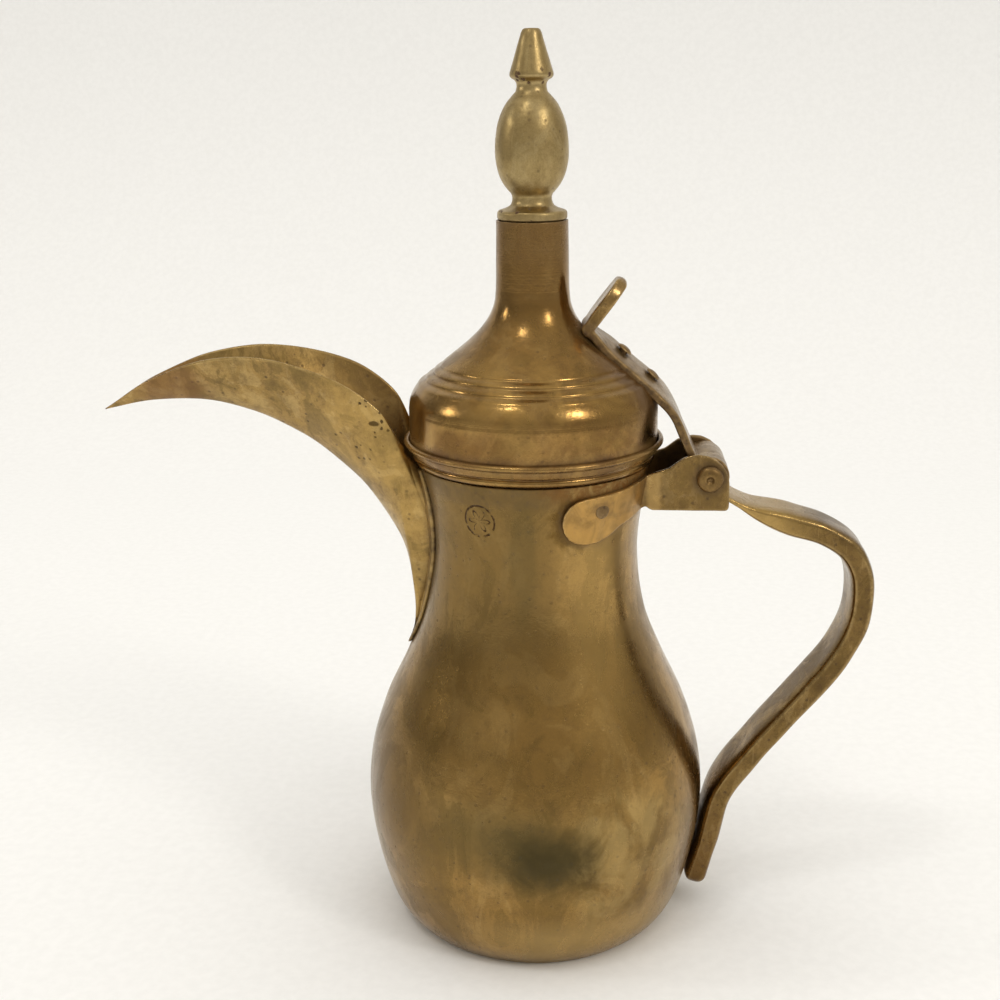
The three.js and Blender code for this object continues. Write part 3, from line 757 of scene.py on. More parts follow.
def bracketWeb():  # the strip under the ears, with rounded folds
    ear, low, fold = bracketShape["earFace"], bracketShape["bottom"], bracketShape["fold"]
    sheet, begin = bracketShape["webSheet"], bracketShape["webStart"]
    turn = np.linspace(0, math.pi / 2, 8)
    outer = [(-ear, low + 3.4)]
    outer += [(-ear + fold * (1 - math.cos(a)), low + fold * (1 - math.sin(a))) for a in turn]
    outer += [(-y, z) for y, z in outer[::-1]]
    outer = np.array(outer)
    inner = outer.copy()
    inner[:, 0] *= (ear - sheet) / ear
    inner[:, 1] = np.where(inner[:, 1] < low + 3, inner[:, 1] + sheet, inner[:, 1])
    front, back = [], []
    for x in np.linspace(begin, 63.5, 60):
        bent = 1 - ramp(begin, begin + 2.5, x)
        corner = 1.7 * (1 - math.sqrt(max(1 - bent ** 2, 0)))  # rounded end next to the neck
        start = np.sqrt(np.maximum((float(potRadius(151)) + 0.35) ** 2 - outer[:, 0] ** 2, 0))
        xs = np.maximum(x, start)
        rise = np.array([0, corner])
        front.append(np.column_stack([xs, outer + rise]))
        back.append(np.column_stack([xs, inner + rise]))
    return gridSolid("bracketWeb", front, back)


bracket = remeshed("hingeBracket", [bracketSide(-1), bracketSide(1), bracketWeb()], bracketShape["voxel"], 2)
uneven(bracket, 0.007, 0.00016, 6.0)
pieces["hingeBracket"] = (bracket, "pot", "cast_brass", ["hinge_bracket"])

pinShape = {
    "x": 57.4, "z": 160.8, "radius": 2.6, "face": 14.25,
    "head": [(4.2, 0), (4.35, 0.5), (4.2, 1.1), (3.7, 1.65), (2.9, 2.05), (2.0, 2.25), (1.35, 2.2),
             (0.95, 1.75), (0.5, 1.4), (0, 1.35)],
}
pinHalf = [(pinShape["radius"], pinShape["face"] - 0.3), (pinShape["radius"], pinShape["face"])]
pinHalf += [(r, pinShape["face"] + z) for r, z in pinShape["head"]]
pinOutline = [(r, -z) for r, z in pinHalf[::-1]] + pinHalf
pinOutline = softened(pinOutline, 0.3, 3)
pin = turned("hingePin", pinOutline, **{"Facets": 64, "Dent Size": 0.004, "Dent Height": 0.0002, "Seed": 5.2})
pinPlace = Matrix.Translation((pinShape["x"] * mm, 0, pinShape["z"] * mm))
pinPlace = pinPlace @ Matrix.Rotation(math.pi / 2, 4, "X")
pin.data.transform(pinPlace)
pieces["hingePin"] = (pin, "pot", "cast_brass", ["hinge_pin"])
print("hinge made")

# swept bars

def sweptSolid(name, line, halfWide, halfThick, square, sides=72, dish=(0, 0), amount=None):
    line = np.asarray(line, float)  # (x, z) stations in the plane y = 0
    along = np.gradient(line, axis=0)
    along /= np.linalg.norm(along, axis=1)[:, None]
    normal = np.column_stack([-along[:, 1], along[:, 0]])
    angle = np.linspace(0, math.tau, sides, endpoint=False)
    c, s = np.cos(angle), np.sin(angle)
    u = np.sign(c) * np.abs(c) ** square
    v = np.sign(s) * np.abs(s) ** square
    verts = []
    for i in range(len(line)):
        push = v * halfThick[i]
        if amount is not None:  # crowned across, and tilted towards the far side
            push = push + amount[i] * (dish[0] * (1 - u * u) + dish[1] * u)
        verts.append(np.column_stack([
            line[i, 0] + normal[i, 0] * push, u * halfWide[i], line[i, 1] + normal[i, 1] * push,
        ]))
    verts = np.concatenate(verts)
    n = len(line)
    faces = [
        (i * sides + j, i * sides + (j + 1) % sides, (i + 1) * sides + (j + 1) % sides, (i + 1) * sides + j)
        for i in range(n - 1) for j in range(sides)
    ]
    caps = len(verts)
    verts = np.vstack([verts, [line[0, 0], 0, line[0, 1]], [line[-1, 0], 0, line[-1, 1]]]) * mm
    faces += [(caps, (j + 1) % sides, j) for j in range(sides)]
    last = (n - 1) * sides
    faces += [(caps + 1, last + j, last + (j + 1) % sides) for j in range(sides)]
    return settled(meshObject(name + "Raw", verts, faces), name)

def roundedEnd(walk, length, least):  # 1 along the bar, falling in a quarter circle at walk = 0
    return np.sqrt(np.clip(1 - (1 - np.clip(walk / length, 0, 1)) ** 2, least, 1))


# handle

handleShape = {
    "line": [
        (41.2, 153.05), (50, 153.05), (58, 153.05), (63.2, 152.75), (67.5, 150.6), (73, 147.7), (84.8, 143.6),
        (95.8, 140.2), (104.4, 134.7), (108.6, 127.4), (109.7, 119), (108.6, 108.8), (103.4, 96.6),
        (94.2, 83.7), (76.4, 61.2), (65.4, 44.8), (62.5, 34.4), (60.8, 25.6), (57.9, 15.2), (56.2, 8.8),
    ],
    "width": 19.0,
    "thickness": 7.8,
    "tongue": 1.75,
    "square": 0.42,
}
handleLine = curveThrough(handleShape["line"], 260)
handleWalk = np.linspace(0, 1, 260)
grow = ramp(64, 86, handleLine[:, 0]) * (handleLine[:, 1] > 120) + (handleLine[:, 1] <= 120)
handleThick = handleShape["tongue"] + (handleShape["thickness"] - handleShape["tongue"]) * grow
startRound = roundedEnd(handleWalk, 0.008, 0.05)
endRound = roundedEnd(1 - handleWalk, 0.022, 0.03)
handleWide = handleShape["width"] / 2 * startRound * (0.35 + 0.65 * endRound)
handleThick = handleThick / 2 * endRound
handleBar = sweptSolid("handle", handleLine, handleWide, handleThick, handleShape["square"], 88)
uneven(handleBar, 0.012, 0.00035, 7.0)
pieces["handle"] = (handleBar, "pot", "cast_brass", ["handle"])

# lid arm

armShape = {
    "tab": [(29.3, 223.4), (25.2, 217.9), (21.1, 212.5), (18.6, 209.2)],
    "strap": [
        (18.9, 206.7), (22.0, 203.8), (28.1, 198.2), (34.5, 192.65), (39.9, 187.95), (43.5, 184.0),
        (46.4, 179.45), (48.7, 174.3), (51.2, 168.6), (54.2, 163.6),
    ],
    "fold": (17.35, 207.95),
    "tabHalf": 8.0,
    "foldHalf": 8.8,
    "knuckleHalf": 11.9,
    "tabThick": 4.2,
    "strapThick": 2.8,
    "knuckle": 6.6,
    "bore": 3.0,
    "square": 0.22,
    "crown": 0.6,
    "tilt": 0.9,        # the far edge stands higher than the near one
    "voxel": 0.0004,
}
armLine = curveThrough([*armShape["tab"], armShape["fold"], *armShape["strap"]], 210)
armWalk = np.concatenate([[0], np.cumsum(np.linalg.norm(np.diff(armLine, axis=0), axis=1))])
onStrap = ramp(19, 26, armWalk)
spreadWide = ramp(18, 46, armLine[:, 0]) * onStrap
armWide = armShape["foldHalf"] + (armShape["knuckleHalf"] - armShape["foldHalf"]) * spreadWide
armWide = armShape["tabHalf"] + (armWide - armShape["tabHalf"]) * ramp(10, 22, armWalk)
armWide = armWide * roundedEnd(armWalk, 8.5, 0.015)
armThick = armShape["tabThick"] + (armShape["strapThick"] - armShape["tabThick"]) * ramp(14, 24, armWalk)
armThick = armThick * roundedEnd(armWalk, 1.6, 0.1)
onDome = ramp(19, 25, armLine[:, 0]) * (1 - ramp(40, 47, armLine[:, 0])) * onStrap
strap = sweptSolid("armStrap", armLine, armWide, armThick / 2, armShape["square"], 64,
                   (armShape["crown"], armShape["tilt"]), onDome)
tubeSection = [(armShape[r], side * armShape["knuckleHalf"]) for r, side in (
    ("bore", -1), ("knuckle", -1), ("knuckle", 1), ("bore", 1))]
tubeOutline = ringOf(softened(tubeSection, 0.7, 3, closed=True))
knuckle = turned("armKnuckle", tubeOutline, **{"Facets": 64})
knuckle.data.transform(pinPlace)
arm = remeshed("lidArm", [strap, knuckle], armShape["voxel"], 2)
uneven(arm, 0.008, 0.00014, 8.0)
pieces["lidArm"] = (arm, "lid", "cast_brass", ["lid_arm"])
print("handle and lid arm made")

# rivets

def rivetsAt(name, profile, points, aims, values):
    master = turned(name + "Shape", softened(profile, 0.25, 3), **{
        "Facets": 40, "Dent Size": 0.002, "Dent Height": 0.00016, "Seed": 9.1,
    })
    holder = bpy.data.objects.new(name + "Points", bpy.data.meshes.new(name + "Points"))
    holder.data.from_pydata([tuple(np.array(p) * mm) for p in points], [], [])
    aim = holder.data.attributes.new("aim", "FLOAT_VECTOR", "POINT")
    aim.data.foreach_set("vector", np.array(aims, float).ravel())
    scene.collection.objects.link(holder)
    withTree(holder, setRivets, {"Rivet": master, **values})
    made = settled(holder, name)
    drop(master)
    return made


armRivetShape = {
    "points": [(28.7, 0, 199.2), (37.9, 0, 191.0)],
    "tilts": (40, 43),
    "profile": [
        (0, -4.05), (1.5, -3.95), (2.3, -3.4), (2.4, -3.15), (1.5, -3.15), (1.5, 1.62), (2.7, 1.62),
        (2.75, 1.85), (2.3, 2.35), (1.5, 2.7), (0.7, 2.85), (0, 2.88),
    ],
}
aims = [(math.sin(math.radians(a)), 0, math.cos(math.radians(a))) for a in armRivetShape["tilts"]]
armRivets = rivetsAt("armRivets", armRivetShape["profile"], armRivetShape["points"], aims, {"Seed": 4})
pieces["armRivets"] = (armRivets, "lid", "cast_brass", ["arm_rivet_upper", "arm_rivet_lower"])

wingRivetShape = {
    "angle": 54, "height": 155,
    "inside": [(0, -0.9), (1.6, -0.8), (2.4, -0.35), (2.4, 0), (1.95, 0)],  # from the neck's inner face
    "head": [(1.95, -0.05), (2.5, -0.02), (2.35, 0.22), (1.5, 0.4), (0, 0.45)],  # from the wing's outer face
}
wingHeight = wingRivetShape["height"]
wingOut = float(potRadius(wingHeight)) + solderGap + bracketShape["wingSheet"]
wingIn = float(potRadius(wingHeight - 2.5)) - potSheet - 0.2
wingProfile = [(r, wingIn + z) for r, z in wingRivetShape["inside"]]
wingProfile += [(r, wingOut + z) for r, z in wingRivetShape["head"]]
a = math.radians(wingRivetShape["angle"])
wingAims = [(math.cos(a), -math.sin(a), 0), (math.cos(a), math.sin(a), 0)]
wingRivets = rivetsAt("wingRivets", wingProfile, [(0, 0, wingHeight)] * 2, wingAims,
                      {"Seed": 6, "Size Change": 0.0})
pieces["wingRivets"] = (wingRivets, "pot", "cast_brass", ["bracket_rivet_near", "bracket_rivet_far"])

tongueRivetShape = {"x": 46.5, "profile": [
    (0, 148.9), (1.6, 149.0), (2.5, 149.4), (2.6, 149.75), (1.6, 149.75), (1.6, 154.15), (2.4, 154.15),
    (2.35, 154.5), (1.4, 154.95), (0, 155.05),
]}
tongueRivet = rivetsAt("handleRivet", [(r, z - 152) for r, z in tongueRivetShape["profile"]],
                       [(tongueRivetShape["x"], 0, 152)], [(0, 0, 1)], {"Seed": 8, "Size Change": 0.0})
pieces["handleRivet"] = (tongueRivet, "pot", "cast_brass", ["handle_rivet"])
print("rivets set")

# wear, grime and painted shade stored on the points

def vertexData(mesh, field):
    data = np.empty(len(mesh.vertices) * 3)
    mesh.vertices.foreach_get(field, data)
    return data.reshape(-1, 3)


def store(mesh, name, values):
    mark = mesh.attributes.get(name) or mesh.attributes.new(name, "FLOAT", "POINT")
    mark.data.foreach_set("value", values.astype(np.float32))


def markEdges(piece, low, high, passes=2):  # convex edges wear bright, creases collect dirt
    mesh = piece.data
    n = len(mesh.vertices)
    co, normals = vertexData(mesh, "co") / mm, vertexData(mesh, "normal")
    edges = np.empty(len(mesh.edges) * 2, int)
    mesh.edges.foreach_get("vertices", edges)
    a, b = edges.reshape(-1, 2).T
    step = co[b] - co[a]
    bend = ((normals[b] - normals[a]) * step).sum(1) / np.maximum((step ** 2).sum(1), 1e-4)
    degree = np.maximum(np.bincount(a, minlength=n) + np.bincount(b, minlength=n), 1)
    curve = (np.bincount(a, bend, n) + np.bincount(b, bend, n)) / degree
    for _ in range(passes):
        curve = 0.5 * curve + 0.5 * (np.bincount(a, curve[b], n) + np.bincount(b, curve[a], n)) / degree
    store(mesh, "worn", ramp(low, high, curve))
    store(mesh, "crease", ramp(low, high, -curve))


def markContactDirtAndShade(all, reach):  # dirt in the joints and painted shade between parts, where one piece of a body lies close to another
    trees, boxes, coords = {}, {}, {}
    for name, (piece, *_) in all.items():
        mesh = piece.data
        coords[name] = vertexData(mesh, "co")
        boxes[name] = (coords[name].min(0) - reach, coords[name].max(0) + reach)
        trees[name] = BVHTree.FromPolygons(coords[name].tolist(), [tuple(p.vertices) for p in mesh.polygons])
    for name, (piece, bodyName, *_) in all.items():
        near = np.full(len(coords[name]), reach)
        for other, (_, otherBody, *_) in all.items():
            low, high = boxes[other]
            if other == name or otherBody != bodyName:
                continue
            inside = np.all((coords[name] > low) & (coords[name] < high), axis=1)
            for i in np.nonzero(inside)[0]:
                hit = trees[other].find_nearest(coords[name][i], near[i])
                if hit[0] is not None:
                    near[i] = min(near[i], hit[3])
        store(piece.data, "seam", (1 - near / reach) ** 1.5)


def facingShade(piece, rule):  # adds painted shade to the seam mark by a rule on place and facing, both in millimetres and unit normals
    mesh = piece.data
    seam = np.empty(len(mesh.vertices))
    mesh.attributes["seam"].data.foreach_get("value", seam)
    store(mesh, "seam", np.maximum(seam, rule(vertexData(mesh, "co") / mm, vertexData(mesh, "normal"))))


edgeRange = {"spout": (0.15, 0.7), "handle": (0.1, 0.32), "lidArm": (0.18, 0.8), "hingeBracket": (0.2, 0.9)}
for name, (piece, *_) in pieces.items():
    markEdges(piece, *edgeRange.get(name, (0.2, 1.2)))
# the seam mark: joint dirt and painted shade near other pieces of the same body
markContactDirtAndShade(pieces, 0.0032)
# painted shade on the lower part of the lid arm's near side faces, and on the inner faces of the bracket's
# ears
facingShade(arm, lambda co, nor: 0.85 * ramp(0.55, 0.9, -nor[:, 1]) * ramp(214, 206, co[:, 2]))
facingShade(bracket, lambda co, nor: (
    0.75 * ramp(0.2, 0.7, -np.sign(co[:, 1]) * nor[:, 1]) * ramp(36, 41, co[:, 0])))
print("wear marked")

# shared surface groups

def brassSkinGroup():  # blotches, streaks, scratches, specks, and stored wear, grime and painted shade, for every brass finish
    tones = {
        "Brass": (0.6, 0.4, 0.15, 1), "Bright": (0.8, 0.6, 0.3, 1), "Olive": (0.25, 0.18, 0.07, 1),
        "Umber": (0.16, 0.08, 0.03, 1), "Soot": (0.045, 0.02, 0.009, 1),
    }
    amounts = {
        "Blotch Size": 25.0, "Clouds": 0.5, "Blotches": 0.5, "Mottle": 0.4, "Specks": 0.4, "Streaks": 0.4,
        "Scratches": 0.4, "Rings": 0.3, "Wear": 0.6, "Grime And Shade": 0.7, "Smooth": 0.24, "Dull": 0.5,
    }
    ins = [("Vector", "NodeSocketVector", None)]
    ins += [(name, "NodeSocketColor", tone) for name, tone in tones.items()]
    ins += [(name, "NodeSocketFloat", amount) for name, amount in amounts.items()]
    outs = [("Color", "NodeSocketColor")]
    outs += [(name, "NodeSocketFloat") for name in ("Roughness", "Metallic", "Height")]
    t, gin, gout = groupOf("brassSkin", "ShaderNodeTree", ins, outs)
    get = gin.outputs
    v, size = get["Vector"], get["Blotch Size"]
    # large soft patches of patina, broken up by smaller ones
    wide = t.noise(v, size, 5, 0.55, 0.4)
    small = t.noise(v, t.times(size, 4.5), 6, 0.62, 0.8)
    patch = t.span(t.plus(t.times(wide, 0.7), t.times(small, 0.3)), 0.46, 0.66)
    mottle = t.times(t.span(t.noise(v, t.times(size, 9.0), 8, 0.7, 0.3), 0.42, 0.7), get["Mottle"])
    light = t.span(t.noise(t.vector("ADD", v, (0.31, 0.17, 0.05)), size, 5, 0.6, 0.2), 0.5, 0.75)
    # crisper-edged clouds that run down the wall a little
    drip = t.stretched(v, (1.0, 1.0, 0.55), place=(0.13, 0.4, 0.2))
    cloud = t.noise(drip, t.times(size, 2.2), 9, 0.62, 1.1)
    darkCloud = t.times(t.span(cloud, 0.5, 0.56), get["Clouds"])
    paleCloud = t.times(t.span(cloud, 0.46, 0.41), get["Clouds"])
    # streaks down the wall, fine rings from turning, and two families of scratches
    streaks = t.noise(t.stretched(v, (260, 260, 9)), 1.0, 5, 0.6)
    streak = t.centred(streaks, get["Streaks"])
    ring = t.centred(t.noise(t.stretched(v, (2, 2, 1500)), 1.0, 3, 0.6), get["Rings"])
    scratchA = t.noise(t.stretched(v, (1500, 1500, 34), (0.5, 0.35, 0.2)), 1.0, 2, 0.5, 0.3)
    scratchB = t.noise(t.stretched(v, (1300, 40, 1300), (0.9, 0.6, 1.1)), 1.0, 2, 0.5, 0.3)
    lines = t.math("MAXIMUM", t.span(scratchA, 0.66, 0.7), t.span(scratchB, 0.67, 0.71))
    lines = t.times(lines, t.span(t.noise(v, 60.0, 3, 0.5), 0.45, 0.6), get["Scratches"])
    # specks and pits
    near, chance = t.cells(v, 420.0)
    speck = t.times(t.span(near, 0.3, 0.12), t.span(chance, 0.72, 0.8))
    fine = t.times(t.span(t.noise(v, 700.0, 4, 0.7), 0.55, 0.72), 0.45)
    speck = t.times(t.math("MAXIMUM", speck, fine), get["Specks"])
    # stored masks; the seam mask holds joint dirt and painted shade
    worn, crease, seam = [
        t.add("ShaderNodeAttribute", attribute_name=name).outputs["Fac"]
        for name in ("worn", "crease", "seam")
    ]
    broken = t.span(t.noise(v, 380.0, 4, 0.65), 0.3, 0.62)
    worn = t.times(worn, get["Wear"], t.span(broken, 0, 1, 0.35, 1.0))
    grimeAndShade = t.times(t.math("MAXIMUM", t.times(crease, 0.8), seam), get["Grime And Shade"])
    grimeAndShade = t.times(grimeAndShade, t.span(broken, 0, 1, 1.0, 0.6), clamp=True)
    # colour, from the clean metal up to the grime and painted shade
    color = t.mix(t.times(light, 0.45), get["Brass"], get["Bright"])
    for mask, tone in (
        (t.times(paleCloud, 0.6), "Bright"), (t.times(darkCloud, 0.75), "Olive"),
        (t.times(patch, get["Blotches"]), "Olive"), (mottle, "Umber"),
        (t.times(t.span(streaks, 0.5, 0.75), get["Streaks"], 0.5), "Olive"),
        (t.times(lines, 0.5), "Bright"), (speck, "Soot"), (worn, "Bright"),
    ):
        color = t.mix(mask, color, get[tone])
    color = t.mix(grimeAndShade, color, t.mix(broken, get["Soot"], get["Umber"]))
    grain = t.plus(t.centred(t.noise(v, 2400.0, 3, 0.7), 0.5), 0.8)
    t.put(gout.inputs["Color"], t.mix(1.0, color, grain, "MULTIPLY"))
    # roughness and metal follow the same marks
    dulled = t.plus(t.times(patch, 0.4), t.times(darkCloud, 0.4), t.times(small, 0.4))
    rough = t.span(dulled, 0.15, 1.0, get["Smooth"], get["Dull"], smooth=False)
    for mask, amount in ((streak, 0.25), (lines, 0.12), (speck, 0.25), (grimeAndShade, 0.35)):
        rough = t.plus(rough, t.times(mask, amount))
    t.put(gout.inputs["Roughness"], t.minus(rough, t.times(worn, 0.08), clamp=True))
    metal = t.minus(t.minus(1.0, t.times(grimeAndShade, 0.7)), t.times(mottle, 0.35))
    t.put(gout.inputs["Metallic"], t.minus(metal, t.times(speck, 0.5), clamp=True))
    # height in millimetres
    height = t.plus(t.centred(small, 0.09), t.centred(wide, 0.3), t.times(ring, 0.03), t.times(streak, 0.03))
    for mask, amount in ((lines, -0.02), (speck, -0.06), (grimeAndShade, 0.04)):
        height = t.plus(height, t.times(mask, amount))
    t.put(gout.inputs["Height"], height)
    return t.tree


brassSkin = brassSkinGroup()


def stain(t, coords, centre, size, edge=0.35, ragged=55.0):  # a soft ragged patch round a point
    away = t.vector("DIVIDE", t.vector("SUBTRACT", coords, centre), size)
    wave = t.centred(t.noise(coords, ragged, 5, 0.6, 0.5), 1.3)
    return t.span(t.plus(t.vector("LENGTH", away), wave), 1.0 + edge, 1.0 - edge)


def pits(t, coords, scale, detail, deep, few):  # ragged pits in some of the cells
    near, chance = t.cells(coords, scale)
    near = t.plus(near, t.centred(t.noise(coords, detail, 4, 0.7, 0.5), 0.9))
    return t.times(t.span(near, *deep), t.span(chance, *few))


def mark(t, look, mask, tone, amount, rough=0, metal=0, height=0):  # lays one kind of mark over a look
    look["Color"] = t.tint(look["Color"], mask, amount, (*tone, 1))
    if rough:
        look["Roughness"] = t.plus(look["Roughness"], t.times(mask, rough), clamp=True)
    if metal:
        look["Metallic"] = t.minus(look["Metallic"], t.times(mask, metal), clamp=True)
    if height:
        look["Height"] = t.plus(look["Height"], t.times(mask, height))


bellyStainsAndReflections = [  # centre, size, softness, raggedness, tone, strength, added roughness
    # the first three are painted dark reflections on the front and left of the belly; the last is a faint
    # stain
    ((-0.009, -0.055, 0.0545), (0.022, 0.03, 0.0095), 0.8, 60.0, (0.1, 0.075, 0.03), 0.6, 0),
    ((0.005, -0.057, 0.0465), (0.016, 0.03, 0.0095), 0.7, 75.0, (0.06, 0.047, 0.02), 0.9, 0.08),
    ((-0.049, -0.034, 0.061), (0.02, 0.034, 0.02), 0.75, 24.0, (0.14, 0.085, 0.03), 0.8, 0),
    ((0.004, -0.044, 0.097), (0.02, 0.03, 0.022), 0.8, 40.0, (0.17, 0.11, 0.04), 0.1, 0),
]
neckReflectionsAndShadow = [  # a painted dark reflection streak down the front, a painted pale reflection band on the right, and a painted shadow of the bracket's wing round its tip
    ((-0.002, -0.036, 0.14), (0.0042, 0.03, 0.021), 0.3, 70.0, (0.12, 0.085, 0.032), 0.4, 0),
    ((0.022, -0.03, 0.125), (0.012, 0.02, 0.045), 0.5, 45.0, (0.56, 0.37, 0.13), 0.3, 0),
    ((0.0138, -0.036, 0.1515), (0.0068, 0.03, 0.0094), 0.22, 160.0, (0.1, 0.054, 0.011), 0.75, 0),
]
rosette = {
    "centre": (-0.0158, -0.0327, 0.152), "across": (0.9, -0.435, 0.0), "radius": 0.0052, "line": 0.00042,
    "petals": 6,
}


def rosetteMask(t, coords):  # a plain worn rosette punched on the neck
    _, y, z = t.split(coords)
    line = rosette["line"]
    along = t.vector("DOT_PRODUCT", t.vector("SUBTRACT", coords, rosette["centre"]), rosette["across"])
    rise = t.plus(z, -rosette["centre"][2])
    radius = t.math("SQRT", t.plus(t.times(along, along), t.times(rise, rise)))
    angle = t.times(t.math("ARCTAN2", rise, along), rosette["petals"] / 2)
    petal = t.times(t.math("ABSOLUTE", t.math("COSINE", angle)), rosette["radius"] * 0.7)
    ring, leaf = [
        t.span(t.math("ABSOLUTE", t.minus(radius, edge)), line, line * 0.4)
        for edge in (rosette["radius"], petal)
    ]
    patchy = t.span(t.noise(coords, 420.0, 3, 0.6), 0.36, 0.52)
    return t.times(t.math("MAXIMUM", ring, leaf), t.span(y, 0.0, -0.01), patchy)


def bodyExtra(t, coords, look):
    x, y, z = t.split(coords)
    wave = t.centred(t.noise(coords, 34.0, 6, 0.6, 0.6), 0.022)
    level = t.math("ABSOLUTE", t.plus(z, -0.05, wave))
    darkReflectionBelt = t.times(t.span(level, 0.017, 0.003), t.span(y, -0.012, -0.045))  # painted dark reflection round the front of the belly
    mark(t, look, darkReflectionBelt, (0.13, 0.09, 0.034), 0.32)
    pale = stain(t, coords, (0.031, -0.047, 0.043), (0.02, 0.034, 0.024), 0.3, 50.0)
    pale = t.times(pale, t.span(t.noise(coords, 75.0, 7, 0.6, 0.5), 0.38, 0.6))
    mark(t, look, pale, (0.58, 0.42, 0.17), 0.3)
    # painted dark reflections, and one stain, on the belly
    for *shape, tone, amount, rough in bellyStainsAndReflections:
        mark(t, look, stain(t, coords, *shape), tone, amount, rough)
    # painted shade: the left side of the neck and shoulder darker
    leftSideShade = t.times(t.span(z, 0.09, 0.122), t.span(x, 0.017, 0.0))
    mark(t, look, leftSideShade, (0.15, 0.1, 0.037), 0.6)
    # painted reflection of the pale floor: the belly lighter near the foot, on the front and right
    low = t.times(t.span(z, 0.027, 0.013), t.span(x, -0.035, 0.01))
    mark(t, look, low, (0.52, 0.36, 0.14), 0.5)
    # painted reflections on the neck, and the painted shadow of the bracket's wing
    for *shape, tone, amount, rough in neckReflectionsAndShadow:
        mark(t, look, stain(t, coords, *shape), tone, amount, rough)
    mark(t, look, rosetteMask(t, coords), (0.045, 0.022, 0.01), 0.9, height=-0.16)
    # solder residue along the rim beside the bracket
    ragged = t.span(t.noise(coords, 260.0, 5, 0.65, 0.6), 0.36, 0.56)
    residue = t.times(t.span(z, 0.1575, 0.1622), t.span(x, -0.004, 0.016), ragged)
    mark(t, look, residue, (0.2, 0.085, 0.012), 0.9, 0.3, 0.3, 0.12)


def finialExtra(t, coords, look):  # casting pits round the disc and under the cone
    z = t.split(coords)[2]
    disc = t.times(t.span(z, 0.2405, 0.2425), t.span(z, 0.2475, 0.2455))
    cone = t.times(t.span(z, 0.2825, 0.2842), t.span(z, 0.289, 0.2865))
    holes = pits(t, coords, 520.0, 900.0, (0.42, 0.28), (0.7, 0.72))
    holes = t.times(holes, t.math("MAXIMUM", disc, cone))
    mark(t, look, holes, (0.07, 0.025, 0.012), 0.9, 0.35, 0.7, -0.2)


def spoutExtra(t, coords, look):  # golden root, painted shade on the far wall, a pitted patch and a stained tip
    x, y, _ = t.split(coords)
    root = t.times(t.span(x, -0.078, -0.058), t.span(y, 0.002, -0.002))
    warm = t.times(root, t.span(t.noise(coords, 60.0, 6, 0.6, 0.8), 0.38, 0.56))
    mark(t, look, warm, (0.62, 0.41, 0.13), 0.28)
    # painted shade: the far wall, seen from inside the spout, darker
    farWallShade = t.times(t.span(y, 0.001, 0.004), t.span(x, -0.085, -0.05))
    mark(t, look, farWallShade, (0.2, 0.115, 0.04), 0.5)
    pitted = stain(t, coords, (-0.055, -0.016, 0.183), (0.012, 0.02, 0.014), 0.5)
    holes = t.times(pitted, pits(t, coords, 420.0, 700.0, (0.27, 0.15), (0.62, 0.66)))
    gash = stain(t, coords, (-0.0505, -0.015, 0.1795), (0.0016, 0.02, 0.0008), 0.3, 700.0)
    mark(t, look, t.math("MAXIMUM", holes, gash), (0.06, 0.035, 0.013), 0.75, rough=0.3, height=-0.2)
    tip = stain(t, coords, (-0.119, 0, 0.19), (0.012, 0.02, 0.008), 0.4, 90.0)
    mark(t, look, tip, (0.2, 0.1, 0.04), 0.6)


def domeExtra(t, coords, look):  # the tube is duller, the shoulder stained by the arm, the lower wall blotched and darkened with painted shade
    z = t.split(coords)[2]
    mark(t, look, t.span(z, 0.204, 0.222), (0.19, 0.11, 0.038), 0.5)
    burnt = stain(t, coords, (0.031, -0.0135, 0.19), (0.013, 0.009, 0.017), 0.6, 120.0)
    mark(t, look, burnt, (0.13, 0.06, 0.011), 0.75, rough=0.08)
    # blotched patina and painted shade darken the lower wall
    wall = t.times(t.span(z, 0.187, 0.181), t.span(t.noise(coords, 48.0, 7, 0.6, 1.0), 0.42, 0.58))
    mark(t, look, wall, (0.17, 0.085, 0.03), 0.5)
    warm = t.times(t.span(z, 0.205, 0.195), t.span(t.noise(coords, 36.0, 6, 0.6, 0.8), 0.44, 0.6))
    mark(t, look, warm, (0.6, 0.38, 0.12), 0.3)


def handleExtra(t, coords, look):  # rubbed bright where the thumb rests, darker at the foot
    x, _, z = t.split(coords)
    thumb = t.times(t.span(x, 0.098, 0.078), t.span(z, 0.132, 0.14))
    mark(t, look, thumb, (0.5, 0.33, 0.11), 0.6)
    mark(t, look, t.span(z, 0.05, 0.02), (0.16, 0.08, 0.026), 0.4)


def bracketPaintedLight(t, coords, look):  # wing painted lighter as a painted reflection of the bright side, a painted highlight along the bend, ears painted darker as painted shade
    x = t.split(coords)[0]
    # painted reflection: the wing, facing the bright side, lighter and warmer
    wingReflection = t.span(t.noise(coords, 140.0, 6, 0.6, 0.9), 0.3, 0.66, 0.25, 0.7)
    mark(t, look, t.span(x, 0.037, 0.033), (0.62, 0.36, 0.1), wingReflection)
    # painted highlight along the bend from the wing to the ear
    fold = t.times(t.span(x, 0.0365, 0.0385), t.span(x, 0.0425, 0.0405))
    mark(t, look, fold, (0.7, 0.46, 0.17), 0.3)
    # painted shade: the ears darker
    mark(t, look, t.span(x, 0.041, 0.044), (0.15, 0.1, 0.036), 0.3)


